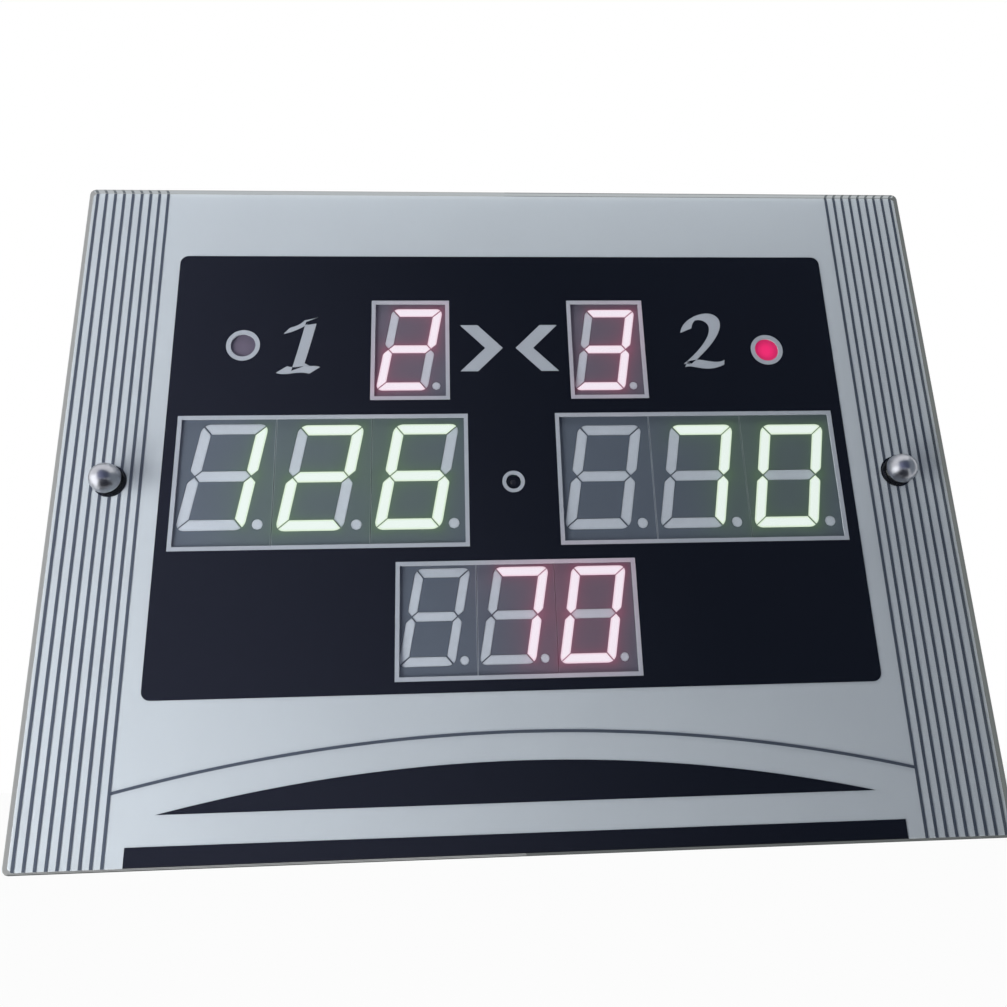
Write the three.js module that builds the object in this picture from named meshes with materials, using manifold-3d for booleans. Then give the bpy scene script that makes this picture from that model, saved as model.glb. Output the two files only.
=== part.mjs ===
// Electronic scoreboard that hangs on a wall, with eleven seven-segment displays behind one clear sheet.
// Lengths are in millimetres. The origin is the centre of the rear face, which lies on the wall.
// +Z is up, and the front faces -Y.
// All pieces sit in one upright group, whose own axes are x to the right, y up and z away from the wall.

import * as THREE from "three";
import { mergeVertices } from "three/addons/utils/BufferGeometryUtils.js";
import Module from "manifold-3d";

const wasm = await Module();
wasm.setup();

// Clearances
const seatGap = 0.3; // between two pieces that seat on each other
const runningGap = 0.2; // round a pin, a screw or a rocker
const overrun = 1; // how far a cutting solid runs past the face that it cuts

// Front sheet
const sheetWidth = 460;
const sheetHeight = 350;
const sheetThickness = 5;
const sheetCornerRadius = 3;
const sheetArris = 0.5; // flat ground along each edge
const sheetHoleDiameter = 8;

// Printed film on the back of the sheet, and the foam behind it
const filmThickness = 0.4;
const filmMargin = 0.5; // bare edge of the sheet round the film
const foamThickness = 1;
const foamMargin = 1.5; // from the tray's edges to the foam

// Displays
const moduleDepth = 12;
const moduleWall = 1.2;
const moduleFace = 2;
const castRecess = 0.5; // from the rear of a shell to the casting inside it
const lensRecess = 0.1; // from the face of a shell to the tops of the segments
const lensGap = 0.2; // round each segment in its opening
const digitSlant = THREE.MathUtils.degToRad(10);
const large = {
  width: 49,
  height: 70,
  spacing: 0.3, // between two neighbours in a row
  sideLap: 1.1, // of the film over a row's ends
  topLap: 1.35, // of the film over a row's top and bottom
  digitWidth: 33.7,
  digitHeight: 56.4,
  digitShift: -1.1,
  digitLift: 1.4,
  segmentWidth: 5.4,
  jointGap: 0.8,
  cornerRadius: 4.5,
  pointDiameter: 5.5,
  pointSide: 17.5,
  pointDrop: 25.4,
};
const small = {
  width: 38.9,
  height: 56,
  spacing: 0.3,
  sideLap: 0.55,
  topLap: 0.9,
  digitWidth: 27.2,
  digitHeight: 47.8,
  digitShift: -1,
  digitLift: 0.8,
  segmentWidth: 4.4,
  jointGap: 0.75,
  cornerRadius: 3.5,
  pointDiameter: 4.4,
  pointSide: 13.2,
  pointDrop: 21.5,
};

// Places of the display rows: across as shares of the sheet's width, and up from its middle
const largeRowShare = 0.2128;
const smallPairShare = 0.1159;
const largeRowRise = 5.1;
const smallPairRise = 78.2;
const smallRowDrop = 67.2;
const handLift = 1.6; // most that a module was soldered above its line
const handSlip = 0.6; // most that a row was soldered to the right of its window

// Indicator lamps and the receiver
const lampInset = 29.7; // from the outer end of a large row to a lamp's axis
const leftLampRise = 80.9;
const rightLampRise = 77.1;
const lampWindowDiameter = 13.1;
const lampDiameter = 10;
const lampFlangeDiameter = 11.4;
const lampFlangeThickness = 1.6;
const lampLensDiameter = 16;
const lampLensThickness = 1;
const receiverRise = 3.2;
const receiverWindowDiameter = 7.9;
const receiverWidth = 7;
const receiverHeight = 7.6;
const receiverThickness = 4.6;
const receiverDomeDiameter = 5.4;
const leadWidth = 0.7; // of a wire leg
const leadSpacing = 2.54;

// Domed caps, with their bolts and washers
const capInset = 26.5; // from the sheet's side edges to a cap's axis
const capRise = 6;
const capDiameter = 15.2;
const capSkirt = 0.8; // straight part of the cap below its dome
const capBoreDepth = 5.5;
const boltDiameter = 5;
const boltHeadDiameter = 9;
const boltHeadThickness = 2.6;
const boltEndGap = 0.6; // from the end of a bolt to the end of its cap's bore
const washerDiameter = 13;
const washerThickness = 0.8;

// Housing tray
const trayInset = 12; // from the sheet's edges to the tray
const trayWall = 2;
const trayCornerRadius = 6;
const windowMargin = 2.5; // from the outermost displays to the tray's window
const windowCornerRadius = 3;
const boltBossDiameter = 13;
const boltBossHeight = 3;
const screwBossDiameter = 9;
const screwBossBite = 0.5; // how far a corner boss runs into the walls
const postDiameter = 8;
const postReach = 9; // from the window's side to a post
const postInset = 11.5; // from the board's top and bottom edges to a post

// Display board and what stands on its rear
const boardThickness = 1.6;
const boardEdge = 6; // from a post's axis to the board's side
const rearSpace = 11; // between the back cover and the board
const boardScrew = { shank: 2.5, head: 5.6, headHeight: 1.9, length: 9 };
const chip = { width: 13, length: 36, height: 3.6, standoff: 0.8, legs: 7, legPitch: 5, legReach: 2.2 };
const driver = { width: 7.5, length: 16, height: 2.6, standoff: 0.5, legs: 4, legPitch: 4, legReach: 1.6 };
const chipDraft = 0.5; // each side of a chip leans in by this
const regulator = { width: 10, bodyLength: 9, height: 4.4, tabLength: 6.5, tabThickness: 1.3, hole: 3.6 };
const capacitor = { diameter: 8, height: 9.6, groove: 0.4, grooveFoot: 1.6, grooveWidth: 1 };
const buzzer = { diameter: 12, height: 7.5, mouth: 2, mouthDepth: 2, rim: 0.8 };
const boardPlaceShares = {
  // of the board's width and height, from its middle
  controller: [0, 0.012],
  leftDriver: [-0.256, -0.219],
  rightDriver: [0.256, -0.219],
  regulator: [0.16, -0.383],
  capacitor: [0.21, -0.383],
  buzzer: [-0.16, -0.383],
};

// Back cover
const coverThickness = 2;
const coverLipWidth = 1.5;
const coverLipHeight = 2;
const keyholeShare = 0.3211; // of the tray's width, from the middle to a keyhole
const keyholeRise = 90;
const keyholeHead = 10;
const keyholeSlot = 5.2;
const keyholeTravel = 12; // from the middle of the head hole to the end of the slot's axis
const slotWidth = 3;
const slotLength = 28;
const slotPitch = 9;
const slotsInRow = 6;
const slotRowInset = 29; // from the tray's top and bottom edges to the middle of a row
const coverScrew = {
  shank: 2.8,
  head: 6.2,
  length: 12,
  recess: 0.15, // of the head below the cover's face
  cross: 3.4,
  crossWidth: 0.8,
  crossDepth: 0.9,
};

// Power inlet in the tray's lower wall
const inletShare = 0.344; // of the tray's width, from the middle to the inlet
const inletFlangeDiameter = 14.5;
const inletFlangeThickness = 1.8;
const inletBarrelDiameter = 11;
const inletBarrelLength = 13;
const inletBoreDiameter = 6.4;
const inletBoreDepth = 10;
const inletPinDiameter = 2.1;
const inletPinRecess = 1; // from the flange's face to the tip of the pin
const inletTail = 2.5; // of the pin past the barrel
const inletNutAcross = 14;
const inletNutThickness = 2.4;

// Power switch beside the inlet
const switchPitch = 38; // from the inlet to the switch
const rockerLength = 16;
const rockerWidth = 9.6;
const rockerEnd = 5.2; // height of the rocker's ends above its pivot
const rockerValley = 3.9;
const rockerWing = 2.6; // thickness of the rocker's ends
const rockerKeel = 3; // below the pivot
const rockerTilt = THREE.MathUtils.degToRad(10); // from level to either stop
const pivotDiameter = 2.2;
const pivotLength = 0.7; // of each stub beyond the rocker's side
const pivotDepth = 3.2; // from the bezel's face to the pivot
const swingRoom = 1; // at each end of the rocker
const switchWall = 1.2;
const bezelMargin = 1.6;
const bezelThickness = 2;
const switchDepth = 15;
const recessDepth = 8.6;

// Leads inside the tray
const wireDiameter = 2.2;
const wireRise = 9; // of the arch from the inlet to the switch

// Facets of round forms
const holeFacets = 12;
const roundFacets = 18;
const domeFacets = 28;
const domeRings = 5;
const cornerFacets = 3;
const segmentFacets = 2;
const pointFacets = 8;
const wireFacets = 6;
const wireSteps = 10;

// Layers from the wall to the front of the sheet
const boardRear = coverThickness + rearSpace;
const boardFront = boardRear + boardThickness;
const moduleRear = boardFront + seatGap;
const moduleFront = moduleRear + moduleDepth;
const filmRear = moduleFront + seatGap;
const sheetRear = filmRear + filmThickness + seatGap;
const sheetFront = sheetRear + sheetThickness;
const foamRear = filmRear - seatGap - foamThickness;
const trayFront = foamRear - seatGap;
const trayRear = coverThickness + seatGap;
const trayPlateRear = trayFront - trayWall;

// Display rows: the middle of each row's window, its share of the hand slip and its modules' of the lift
const largeX = largeRowShare * sheetWidth;
const smallX = smallPairShare * sheetWidth;
const rows = [
  {
    name: "left_score",
    kind: large,
    x: -largeX,
    y: largeRowRise,
    slipShare: 0.33,
    liftShares: [1, 0.47, 0.47],
  },
  {
    name: "right_score",
    kind: large,
    x: largeX,
    y: largeRowRise,
    slipShare: -0.33,
    liftShares: [-0.47, -0.62, -0.8],
  },
  {
    name: "left_sets",
    kind: small,
    x: -smallX,
    y: smallPairRise,
    slipShare: 1,
    liftShares: [-0.1],
  },
  {
    name: "right_sets",
    kind: small,
    x: smallX,
    y: smallPairRise,
    slipShare: 0.15,
    liftShares: [-0.44],
  },
  {
    name: "lower_score",
    kind: small,
    x: 0,
    y: -smallRowDrop,
    slipShare: -1,
    liftShares: [0.59, 0.65, 0.51],
  },
];
const rowPitch = (kind) => kind.width + kind.spacing;
const rowWidth = (row) => (row.liftShares.length - 1) * rowPitch(row.kind) + row.kind.width;

// Tray and board, worked out from the rows
const rowReach = Math.max(...rows.map((row) => Math.abs(row.x) + rowWidth(row) / 2));
const windowHalfWidth = rowReach + windowMargin;
const windowTop = Math.max(...rows.map((row) => row.y + row.kind.height / 2)) + windowMargin;
const windowBottom = Math.min(...rows.map((row) => row.y - row.kind.height / 2)) - windowMargin;
const windowMiddle = (windowTop + windowBottom) / 2;
const trayWidth = sheetWidth - 2 * trayInset;
const trayHeight = sheetHeight - 2 * trayInset;
const screwBossInset = trayWall + screwBossDiameter / 2 - screwBossBite;
const coverScrewPlaces = cornersOf(trayWidth / 2 - screwBossInset, trayHeight / 2 - screwBossInset, 0);
const postSpread = windowHalfWidth + postReach;
const boardWidth = 2 * (postSpread + boardEdge);
const boardHeight = windowTop - windowBottom;
const postPlaces = cornersOf(postSpread, boardHeight / 2 - postInset, windowMiddle);
const capSpread = sheetWidth / 2 - capInset;
const boltPlaces = [
  ["left", -capSpread],
  ["right", capSpread],
];
const lampSpread = rowReach - lampInset;
const keyholeSpread = keyholeShare * trayWidth;
const slotRowRise = trayHeight / 2 - slotRowInset;
const inletSide = -inletShare * trayWidth;
const switchSide = inletSide + switchPitch;

// Materials
const clearGlass = new THREE.MeshStandardMaterial({ color: 0xdde6e3, roughness: 0.05, opacity: 0.35 });
clearGlass.transparent = true;
const silverPrint = new THREE.MeshStandardMaterial({ color: 0xb4b8c0, roughness: 0.35, metalness: 0.5 });
const blackFoam = new THREE.MeshStandardMaterial({ color: 0x1c1c1e, roughness: 0.95 });
const blackPlastic = new THREE.MeshStandardMaterial({ color: 0x202124, roughness: 0.55 });
const moduleGrey = new THREE.MeshStandardMaterial({ color: 0x565b64, roughness: 0.6 });
const castResin = new THREE.MeshStandardMaterial({ color: 0xc8ccd4, roughness: 0.4 });
const boardGreen = new THREE.MeshStandardMaterial({ color: 0x1f5a38, roughness: 0.5 });
const milkyLens = new THREE.MeshStandardMaterial({ color: 0x9c8f9c, roughness: 0.4 });
const lampResin = new THREE.MeshStandardMaterial({ color: 0xc23048, roughness: 0.25 });
const receiverBlack = new THREE.MeshStandardMaterial({ color: 0x15151a, roughness: 0.2 });
const chrome = new THREE.MeshStandardMaterial({ color: 0xd8dade, roughness: 0.08, metalness: 1 });
const zincSteel = new THREE.MeshStandardMaterial({ color: 0xa9acb0, roughness: 0.35, metalness: 1 });
const clearNylon = new THREE.MeshStandardMaterial({ color: 0xc9ccc8, roughness: 0.4 });
const wireRed = new THREE.MeshStandardMaterial({ color: 0xb02020, roughness: 0.5 });
const canBlue = new THREE.MeshStandardMaterial({ color: 0x27324f, roughness: 0.4 });

// Points and outlines

// Four places round a middle, in the order top left, top right, bottom left, bottom right
function cornersOf(halfWidth, halfHeight, middleY) {
  return [
    [-halfWidth, middleY + halfHeight],
    [halfWidth, middleY + halfHeight],
    [-halfWidth, middleY - halfHeight],
    [halfWidth, middleY - halfHeight],
  ];
}

// An arc's points, with the angles in radians
function arcPoints(x, y, radius, from, to, steps) {
  return Array.from({ length: steps + 1 }, (_, i) => {
    const angle = from + ((to - from) * i) / steps;
    return new THREE.Vector2(x + radius * Math.cos(angle), y + radius * Math.sin(angle));
  });
}

function circle(x, y, diameter, facets = holeFacets) {
  return arcPoints(x, y, diameter / 2, 0, 2 * Math.PI, facets).slice(0, -1);
}

function roundedRectangle(width, height, radius, x = 0, y = 0) {
  const right = width / 2 - radius;
  const top = height / 2 - radius;
  const centres = [
    [right, top],
    [-right, top],
    [-right, -top],
    [right, -top],
  ];
  return centres.flatMap(([cx, cy], i) =>
    arcPoints(x + cx, y + cy, radius, (i * Math.PI) / 2, ((i + 1) * Math.PI) / 2, cornerFacets),
  );
}

function rectangle(width, height, x = 0, y = 0) {
  return [
    new THREE.Vector2(x - width / 2, y - height / 2),
    new THREE.Vector2(x + width / 2, y - height / 2),
    new THREE.Vector2(x + width / 2, y + height / 2),
    new THREE.Vector2(x - width / 2, y + height / 2),
  ];
}

// An upright slot with round ends
function slot(x, y, width, length) {
  const reach = (length - width) / 2;
  return [
    ...arcPoints(x, y + reach, width / 2, 0, Math.PI, cornerFacets),
    ...arcPoints(x, y - reach, width / 2, Math.PI, 2 * Math.PI, cornerFacets),
  ];
}

// A head hole that opens upwards into a narrower slot
function keyhole(x, y) {
  const neck = Math.asin(keyholeSlot / keyholeHead);
  return [
    ...arcPoints(x, y + keyholeTravel, keyholeSlot / 2, 0, Math.PI, cornerFacets),
    ...arcPoints(x, y, keyholeHead / 2, Math.PI / 2 + neck, (5 * Math.PI) / 2 - neck, holeFacets),
  ];
}

// A convex outline, run counter-clockwise, with each side moved out by a distance
function grown(points, distance) {
  const sides = points.map((point, i) => {
    const along = points[(i + 1) % points.length].clone().sub(point).normalize();
    const start = point.clone().add(new THREE.Vector2(along.y, -along.x).multiplyScalar(distance));
    return { start, along };
  });
  return sides.map((side, i) => {
    const before = sides[(i + sides.length - 1) % sides.length];
    const apart = side.start.clone().sub(before.start);
    const run = apart.cross(side.along) / before.along.cross(side.along);
    return before.start.clone().addScaledVector(before.along, run);
  });
}

// An outline mirrored left to right, upside down or both, still run counter-clockwise
function mirrored(points, signX, signY) {
  const turned = points.map((point) => new THREE.Vector2(point.x * signX, point.y * signY));
  return signX * signY < 0 ? turned.reverse() : turned;
}

// The eight lit areas of a digit, seen from the front: seven mitred segments and the point
function digitOutlines(kind, grow) {
  const outerX = kind.digitWidth / 2;
  const outerY = kind.digitHeight / 2;
  const innerX = outerX - kind.segmentWidth;
  const innerY = outerY - kind.segmentWidth;
  const half = kind.segmentWidth / 2;
  const shift = kind.jointGap / Math.SQRT2; // along a side, half a joint measured across it
  const bendX = outerX - kind.cornerRadius;
  const bendY = outerY - kind.cornerRadius;
  const mitre = Math.acos(-shift / (Math.SQRT2 * kind.cornerRadius)) - Math.PI / 4;
  const topBend = arcPoints(bendX, bendY, kind.cornerRadius, mitre, Math.PI / 2, segmentFacets);
  const top = [
    new THREE.Vector2(-innerX + shift, innerY),
    new THREE.Vector2(innerX - shift, innerY),
    ...topBend,
    ...mirrored(topBend, -1, 1),
  ];
  const side = [
    new THREE.Vector2(outerX - half, shift),
    new THREE.Vector2(outerX, half + shift),
    ...arcPoints(bendX, bendY, kind.cornerRadius, 0, Math.PI / 2 - mitre, segmentFacets),
    new THREE.Vector2(innerX, innerY - shift),
    new THREE.Vector2(innerX, half + shift),
  ];
  const middleEnd = [
    new THREE.Vector2(innerX - shift, -half),
    new THREE.Vector2(innerX + half - shift, 0),
    new THREE.Vector2(innerX - shift, half),
  ];
  const segments = [
    top,
    mirrored(top, 1, -1),
    side,
    mirrored(side, -1, 1),
    mirrored(side, 1, -1),
    mirrored(side, -1, -1),
    [...middleEnd, ...mirrored(middleEnd, -1, -1)],
  ];
  const lean = (p) => kind.digitShift + p.x + p.y * Math.tan(digitSlant);
  const slanted = segments.map((points) =>
    points.map((p) => new THREE.Vector2(lean(p), kind.digitLift + p.y)),
  );
  const point = circle(kind.pointSide, kind.digitLift - kind.pointDrop, kind.pointDiameter, pointFacets);
  return [...slanted, point].map((points) => grown(points, grow));
}

// Solids

// A closed geometry as a solid that can be joined and cut
function solidOf(geometry) {
  const bare = geometry.index ? geometry.toNonIndexed() : geometry.clone();
  bare.deleteAttribute("normal");
  bare.deleteAttribute("uv");
  const merged = mergeVertices(bare);
  const mesh = new wasm.Mesh({
    numProp: 3,
    vertProperties: merged.attributes.position.array,
    triVerts: new Uint32Array(merged.index.array),
  });
  return new wasm.Manifold(mesh);
}

// An outline pushed forwards from a rear plane
function prism(points, depth, rear) {
  const geometry = new THREE.ExtrudeGeometry(new THREE.Shape(points), { depth, bevelEnabled: false });
  return solidOf(geometry.translate(0, 0, rear));
}

// The same, with holes cut right through it
function plate(points, depth, rear, holes = []) {
  return cut(
    prism(points, depth, rear),
    holes.map((hole) => prism(hole, depth + 2 * overrun, rear - overrun)),
  );
}

// A profile of [radius, height] pairs turned about the y axis, whichever way round it is given
function turnedUp(profile, facets = roundFacets) {
  const points = profile.map(([radius, height]) => new THREE.Vector2(radius, height));
  const ordered = THREE.ShapeUtils.area(points) < 0 ? points.reverse() : points;
  const closed = ordered[0].x === 0 && ordered.at(-1).x === 0 ? ordered : [...ordered, ordered[0].clone()];
  return solidOf(new THREE.LatheGeometry(closed, facets));
}

// The same about the z axis, with the profile's heights measured forwards
function turnedForward(profile, facets = roundFacets) {
  return turnedUp(profile, facets).rotate([90, 0, 0]);
}

function block(width, height, depth, x, y, z) {
  return solidOf(new THREE.BoxGeometry(width, height, depth).translate(x, y, z));
}

// A straight rod that points forwards
function rod(x, y, diameter, rear, front, facets = holeFacets) {
  return plate(circle(x, y, diameter, facets), front - rear, rear);
}

function joined(solids) {
  return solids.reduce((whole, solid) => whole.add(solid));
}

function cut(solid, tools) {
  return tools.reduce((rest, tool) => rest.subtract(tool), solid);
}

// The scene

const scoreboard = new THREE.Group();
const upright = new THREE.Group();
upright.rotation.x = Math.PI / 2;
scoreboard.add(upright);

// Adds a finished solid as a named mesh
function piece(name, solid, material, parent = upright) {
  const made = solid.getMesh();
  const geometry = new THREE.BufferGeometry();
  geometry.setAttribute("position", new THREE.BufferAttribute(new Float32Array(made.vertProperties), 3));
  geometry.setIndex(new THREE.BufferAttribute(new Uint32Array(made.triVerts), 1));
  const faceted = geometry.toNonIndexed();
  faceted.computeVertexNormals();
  const mesh = new THREE.Mesh(faceted, material);
  mesh.name = name;
  parent.add(mesh);
  return mesh;
}

// Front sheet: ground edges, and a hole for each bolt
function makeSheet() {
  const shape = new THREE.Shape(roundedRectangle(sheetWidth, sheetHeight, sheetCornerRadius));
  const geometry = new THREE.ExtrudeGeometry(shape, {
    depth: sheetThickness - 2 * sheetArris,
    bevelThickness: sheetArris,
    bevelSize: sheetArris,
    bevelOffset: -sheetArris,
    bevelSegments: 1,
  });
  const blank = solidOf(geometry.translate(0, 0, sheetRear + sheetArris));
  const holes = boltPlaces.map(([, x]) =>
    rod(x, capRise, sheetHoleDiameter, sheetRear - overrun, sheetFront + overrun, roundFacets),
  );
  piece("front_sheet", cut(blank, holes), clearGlass);
}

// Printed film: clear windows for the displays, the lamps, the receiver and the bolts
function makeFilm() {
  const windows = rows.map((row) => {
    const width = rowWidth(row) - 2 * row.kind.sideLap;
    const height = row.kind.height - 2 * row.kind.topLap;
    return rectangle(width, height, row.x, row.y);
  });
  const rounds = [
    circle(-lampSpread, leftLampRise, lampWindowDiameter, roundFacets),
    circle(lampSpread, rightLampRise, lampWindowDiameter, roundFacets),
    circle(0, receiverRise, receiverWindowDiameter),
    ...boltPlaces.map(([, x]) => circle(x, capRise, sheetHoleDiameter)),
  ];
  const outline = roundedRectangle(
    sheetWidth - 2 * filmMargin,
    sheetHeight - 2 * filmMargin,
    sheetCornerRadius - filmMargin,
  );
  piece("printed_film", plate(outline, filmThickness, filmRear, [...windows, ...rounds]), silverPrint);
}

const trayOutline = (inset) =>
  roundedRectangle(trayWidth - 2 * inset, trayHeight - 2 * inset, trayCornerRadius - inset);
const trayWindow = (margin) =>
  roundedRectangle(
    2 * (windowHalfWidth + margin),
    windowTop - windowBottom + 2 * margin,
    windowCornerRadius + margin,
    0,
    windowMiddle,
  );

function makeFoam() {
  const boltHoles = boltPlaces.map(([, x]) => circle(x, capRise, sheetHoleDiameter));
  const holes = [trayWindow(foamMargin), ...boltHoles];
  piece("foam_seal", plate(trayOutline(foamMargin), foamThickness, foamRear, holes), blackFoam);
}

// Housing tray: front plate with its window, four walls, bosses, posts and the cut-outs in the lower wall
function makeTray() {
  const shell = plate(trayOutline(0), trayFront - trayRear, trayRear);
  const hollow = plate(trayOutline(trayWall), trayPlateRear - trayRear + overrun, trayRear - overrun);
  const frontWindow = plate(trayWindow(0), trayWall + 2 * overrun, trayPlateRear - overrun);
  const root = trayPlateRear + trayWall / 2; // bosses and posts start inside the front plate
  const bossRear = trayRear + seatGap;
  const bossSolids = coverScrewPlaces.map(([x, y]) => rod(x, y, screwBossDiameter, bossRear, root));
  const postSolids = postPlaces.map(([x, y]) => rod(x, y, postDiameter, boardFront + seatGap, root));
  const boltBossRear = trayPlateRear - boltBossHeight;
  const boltBosses = boltPlaces.map(([, x]) =>
    rod(x, capRise, boltBossDiameter, boltBossRear, root, roundFacets),
  );
  const screwBores = coverScrewPlaces.map(([x, y]) =>
    rod(x, y, coverScrew.shank + 2 * runningGap, trayRear - overrun, coverScrew.length + seatGap),
  );
  const postBores = postPlaces.map(([x, y]) =>
    rod(x, y, boardScrew.shank + 2 * runningGap, boardRear, boardRear + boardScrew.length + seatGap),
  );
  const boltBores = boltPlaces.map(([, x]) =>
    rod(x, capRise, boltDiameter + 2 * seatGap, boltBossRear - overrun, trayFront + overrun),
  );
  const walls = cut(shell, [hollow, frontWindow]);
  const solid = cut(joined([walls, ...bossSolids, ...postSolids, ...boltBosses]), [
    ...screwBores,
    ...postBores,
    ...boltBores,
    inletCut(),
    switchCut(),
  ]);
  piece("housing_tray", solid, blackPlastic);
}

// Back cover: keyholes, air slots, countersunk holes and a lip that fits inside the tray's walls
function makeCover() {
  const slotPlaces = [slotRowRise, -slotRowRise].flatMap((y) =>
    Array.from({ length: slotsInRow }, (_, i) => [(i - (slotsInRow - 1) / 2) * slotPitch, y]),
  );
  const holes = [
    keyhole(-keyholeSpread, keyholeRise),
    keyhole(keyholeSpread, keyholeRise),
    ...slotPlaces.map(([x, y]) => slot(x, y, slotWidth, slotLength)),
  ];
  const base = plate(trayOutline(0), coverThickness, 0, holes);
  const lipRear = coverThickness / 2;
  const lipDepth = coverThickness + coverLipHeight - lipRear;
  const ring = plate(trayOutline(trayWall + seatGap), lipDepth, lipRear, [
    trayOutline(trayWall + seatGap + coverLipWidth),
  ]);
  const bossRoom = coverScrewPlaces.map(([x, y]) =>
    rod(x, y, screwBossDiameter + 2 * seatGap, coverThickness, lipRear + lipDepth + overrun),
  );
  const countersink = coverScrewForm(seatGap, overrun);
  const countersinks = coverScrewPlaces.map(([x, y]) => countersink.translate([x, y, 0]));
  piece("back_cover", cut(joined([base, cut(ring, bossRoom)]), countersinks), blackPlastic);
}

// A countersunk screw's outer form, grown by a clearance and run past the wall face by an extra depth
function coverScrewForm(clearance, extra) {
  const headRadius = coverScrew.head / 2 + clearance;
  const shankRadius = coverScrew.shank / 2 + clearance;
  const headRear = coverScrew.recess;
  const profile = [
    [0, headRear - extra],
    [headRadius, headRear - extra],
    [headRadius, headRear],
    [shankRadius, headRear + headRadius - shankRadius],
    [shankRadius, coverScrew.length],
    [0, coverScrew.length],
  ];
  return turnedForward(profile, holeFacets);
}

function makeCoverScrews() {
  const crossDepth = coverScrew.crossDepth + coverScrew.recess;
  const arms = [
    block(coverScrew.cross, coverScrew.crossWidth, 2 * crossDepth, 0, 0, 0),
    block(coverScrew.crossWidth, coverScrew.cross, 2 * crossDepth, 0, 0, 0),
  ];
  coverScrewPlaces.forEach(([x, y], i) => {
    const screw = cut(coverScrewForm(0, 0), arms).translate([x, y, 0]);
    piece(`cover_screw_${i + 1}`, screw, zincSteel);
  });
}

// Display board on the tray's posts, and its four screws
function makeBoard() {
  const holes = postPlaces.map(([x, y]) => circle(x, y, boardScrew.shank + 2 * seatGap));
  const outline = roundedRectangle(boardWidth, boardHeight, windowCornerRadius, 0, windowMiddle);
  piece("display_board", plate(outline, boardThickness, boardRear, holes), boardGreen);
  postPlaces.forEach(([x, y], i) => {
    const headFront = boardRear - seatGap;
    const profile = [
      [0, headFront - boardScrew.headHeight],
      [boardScrew.head / 2 - boardScrew.headHeight / 2, headFront - boardScrew.headHeight],
      [boardScrew.head / 2, headFront - boardScrew.headHeight / 2],
      [boardScrew.head / 2, headFront],
      [boardScrew.shank / 2, headFront],
      [boardScrew.shank / 2, boardRear + boardScrew.length],
      [0, boardRear + boardScrew.length],
    ];
    piece(`board_screw_${i + 1}`, turnedForward(profile, holeFacets).translate([x, y, 0]), zincSteel);
  });
}

// A module's shell: a box open at the rear, whose face has an opening for each segment
function moduleShell(kind) {
  const body = plate(rectangle(kind.width, kind.height), moduleDepth, 0);
  const inner = rectangle(kind.width - 2 * moduleWall, kind.height - 2 * moduleWall);
  const cavity = plate(inner, moduleDepth - moduleFace + overrun, -overrun);
  const openings = digitOutlines(kind, lensGap).map((outline) =>
    plate(outline, moduleFace + 2 * overrun, moduleDepth - moduleFace - overrun),
  );
  return cut(body, [cavity, ...openings]);
}

// A module's casting: the resin that fills the shell, with the segments standing up into the openings
function moduleCasting(kind) {
  const margin = 2 * (moduleWall + seatGap);
  const outline = rectangle(kind.width - margin, kind.height - margin);
  const blockFront = moduleDepth - moduleFace - seatGap;
  const base = plate(outline, blockFront - castRecess, castRecess);
  const segments = digitOutlines(kind, 0).map((segment) =>
    plate(segment, moduleDepth - lensRecess - blockFront + overrun, blockFront - overrun),
  );
  return joined([base, ...segments]);
}

function makeDisplays() {
  const shells = new Map([large, small].map((kind) => [kind, moduleShell(kind)]));
  const castings = new Map([large, small].map((kind) => [kind, moduleCasting(kind)]));
  for (const row of rows) {
    const middle = (row.liftShares.length - 1) / 2;
    const rowX = row.x + row.slipShare * handSlip;
    row.liftShares.forEach((share, i) => {
      const place = new THREE.Group();
      place.position.set(rowX + (i - middle) * rowPitch(row.kind), row.y + share * handLift, moduleRear);
      upright.add(place);
      piece(`${row.name}_shell_${i + 1}`, shells.get(row.kind), moduleGrey, place);
      piece(`${row.name}_digit_${i + 1}`, castings.get(row.kind), castResin, place);
    });
  }
}

// Indicator lamps on the board, each behind a lens bonded to the film
function makeLamps() {
  const lensFront = filmRear - seatGap;
  const lensRear = lensFront - lampLensThickness;
  const lampTop = lensRear - seatGap;
  const radius = lampDiameter / 2;
  const dome = arcPoints(0, lampTop - radius, radius, 0, Math.PI / 2, domeRings).map((p) => [p.x, p.y]);
  dome.at(-1)[0] = 0;
  const profile = [
    [0, moduleRear],
    [lampFlangeDiameter / 2, moduleRear],
    [lampFlangeDiameter / 2, moduleRear + lampFlangeThickness],
    [radius, moduleRear + lampFlangeThickness],
    ...dome,
  ];
  const lamp = turnedForward(profile, holeFacets);
  const places = [
    ["left", -lampSpread, leftLampRise],
    ["right", lampSpread, rightLampRise],
  ];
  for (const [side, x, y] of places) {
    piece(`${side}_lamp`, lamp.translate([x, y, 0]), lampResin);
    const lens = rod(x, y, lampLensDiameter, lensRear, lensFront, roundFacets);
    piece(`${side}_lamp_lens`, lens, milkyLens);
  }
}

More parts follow.
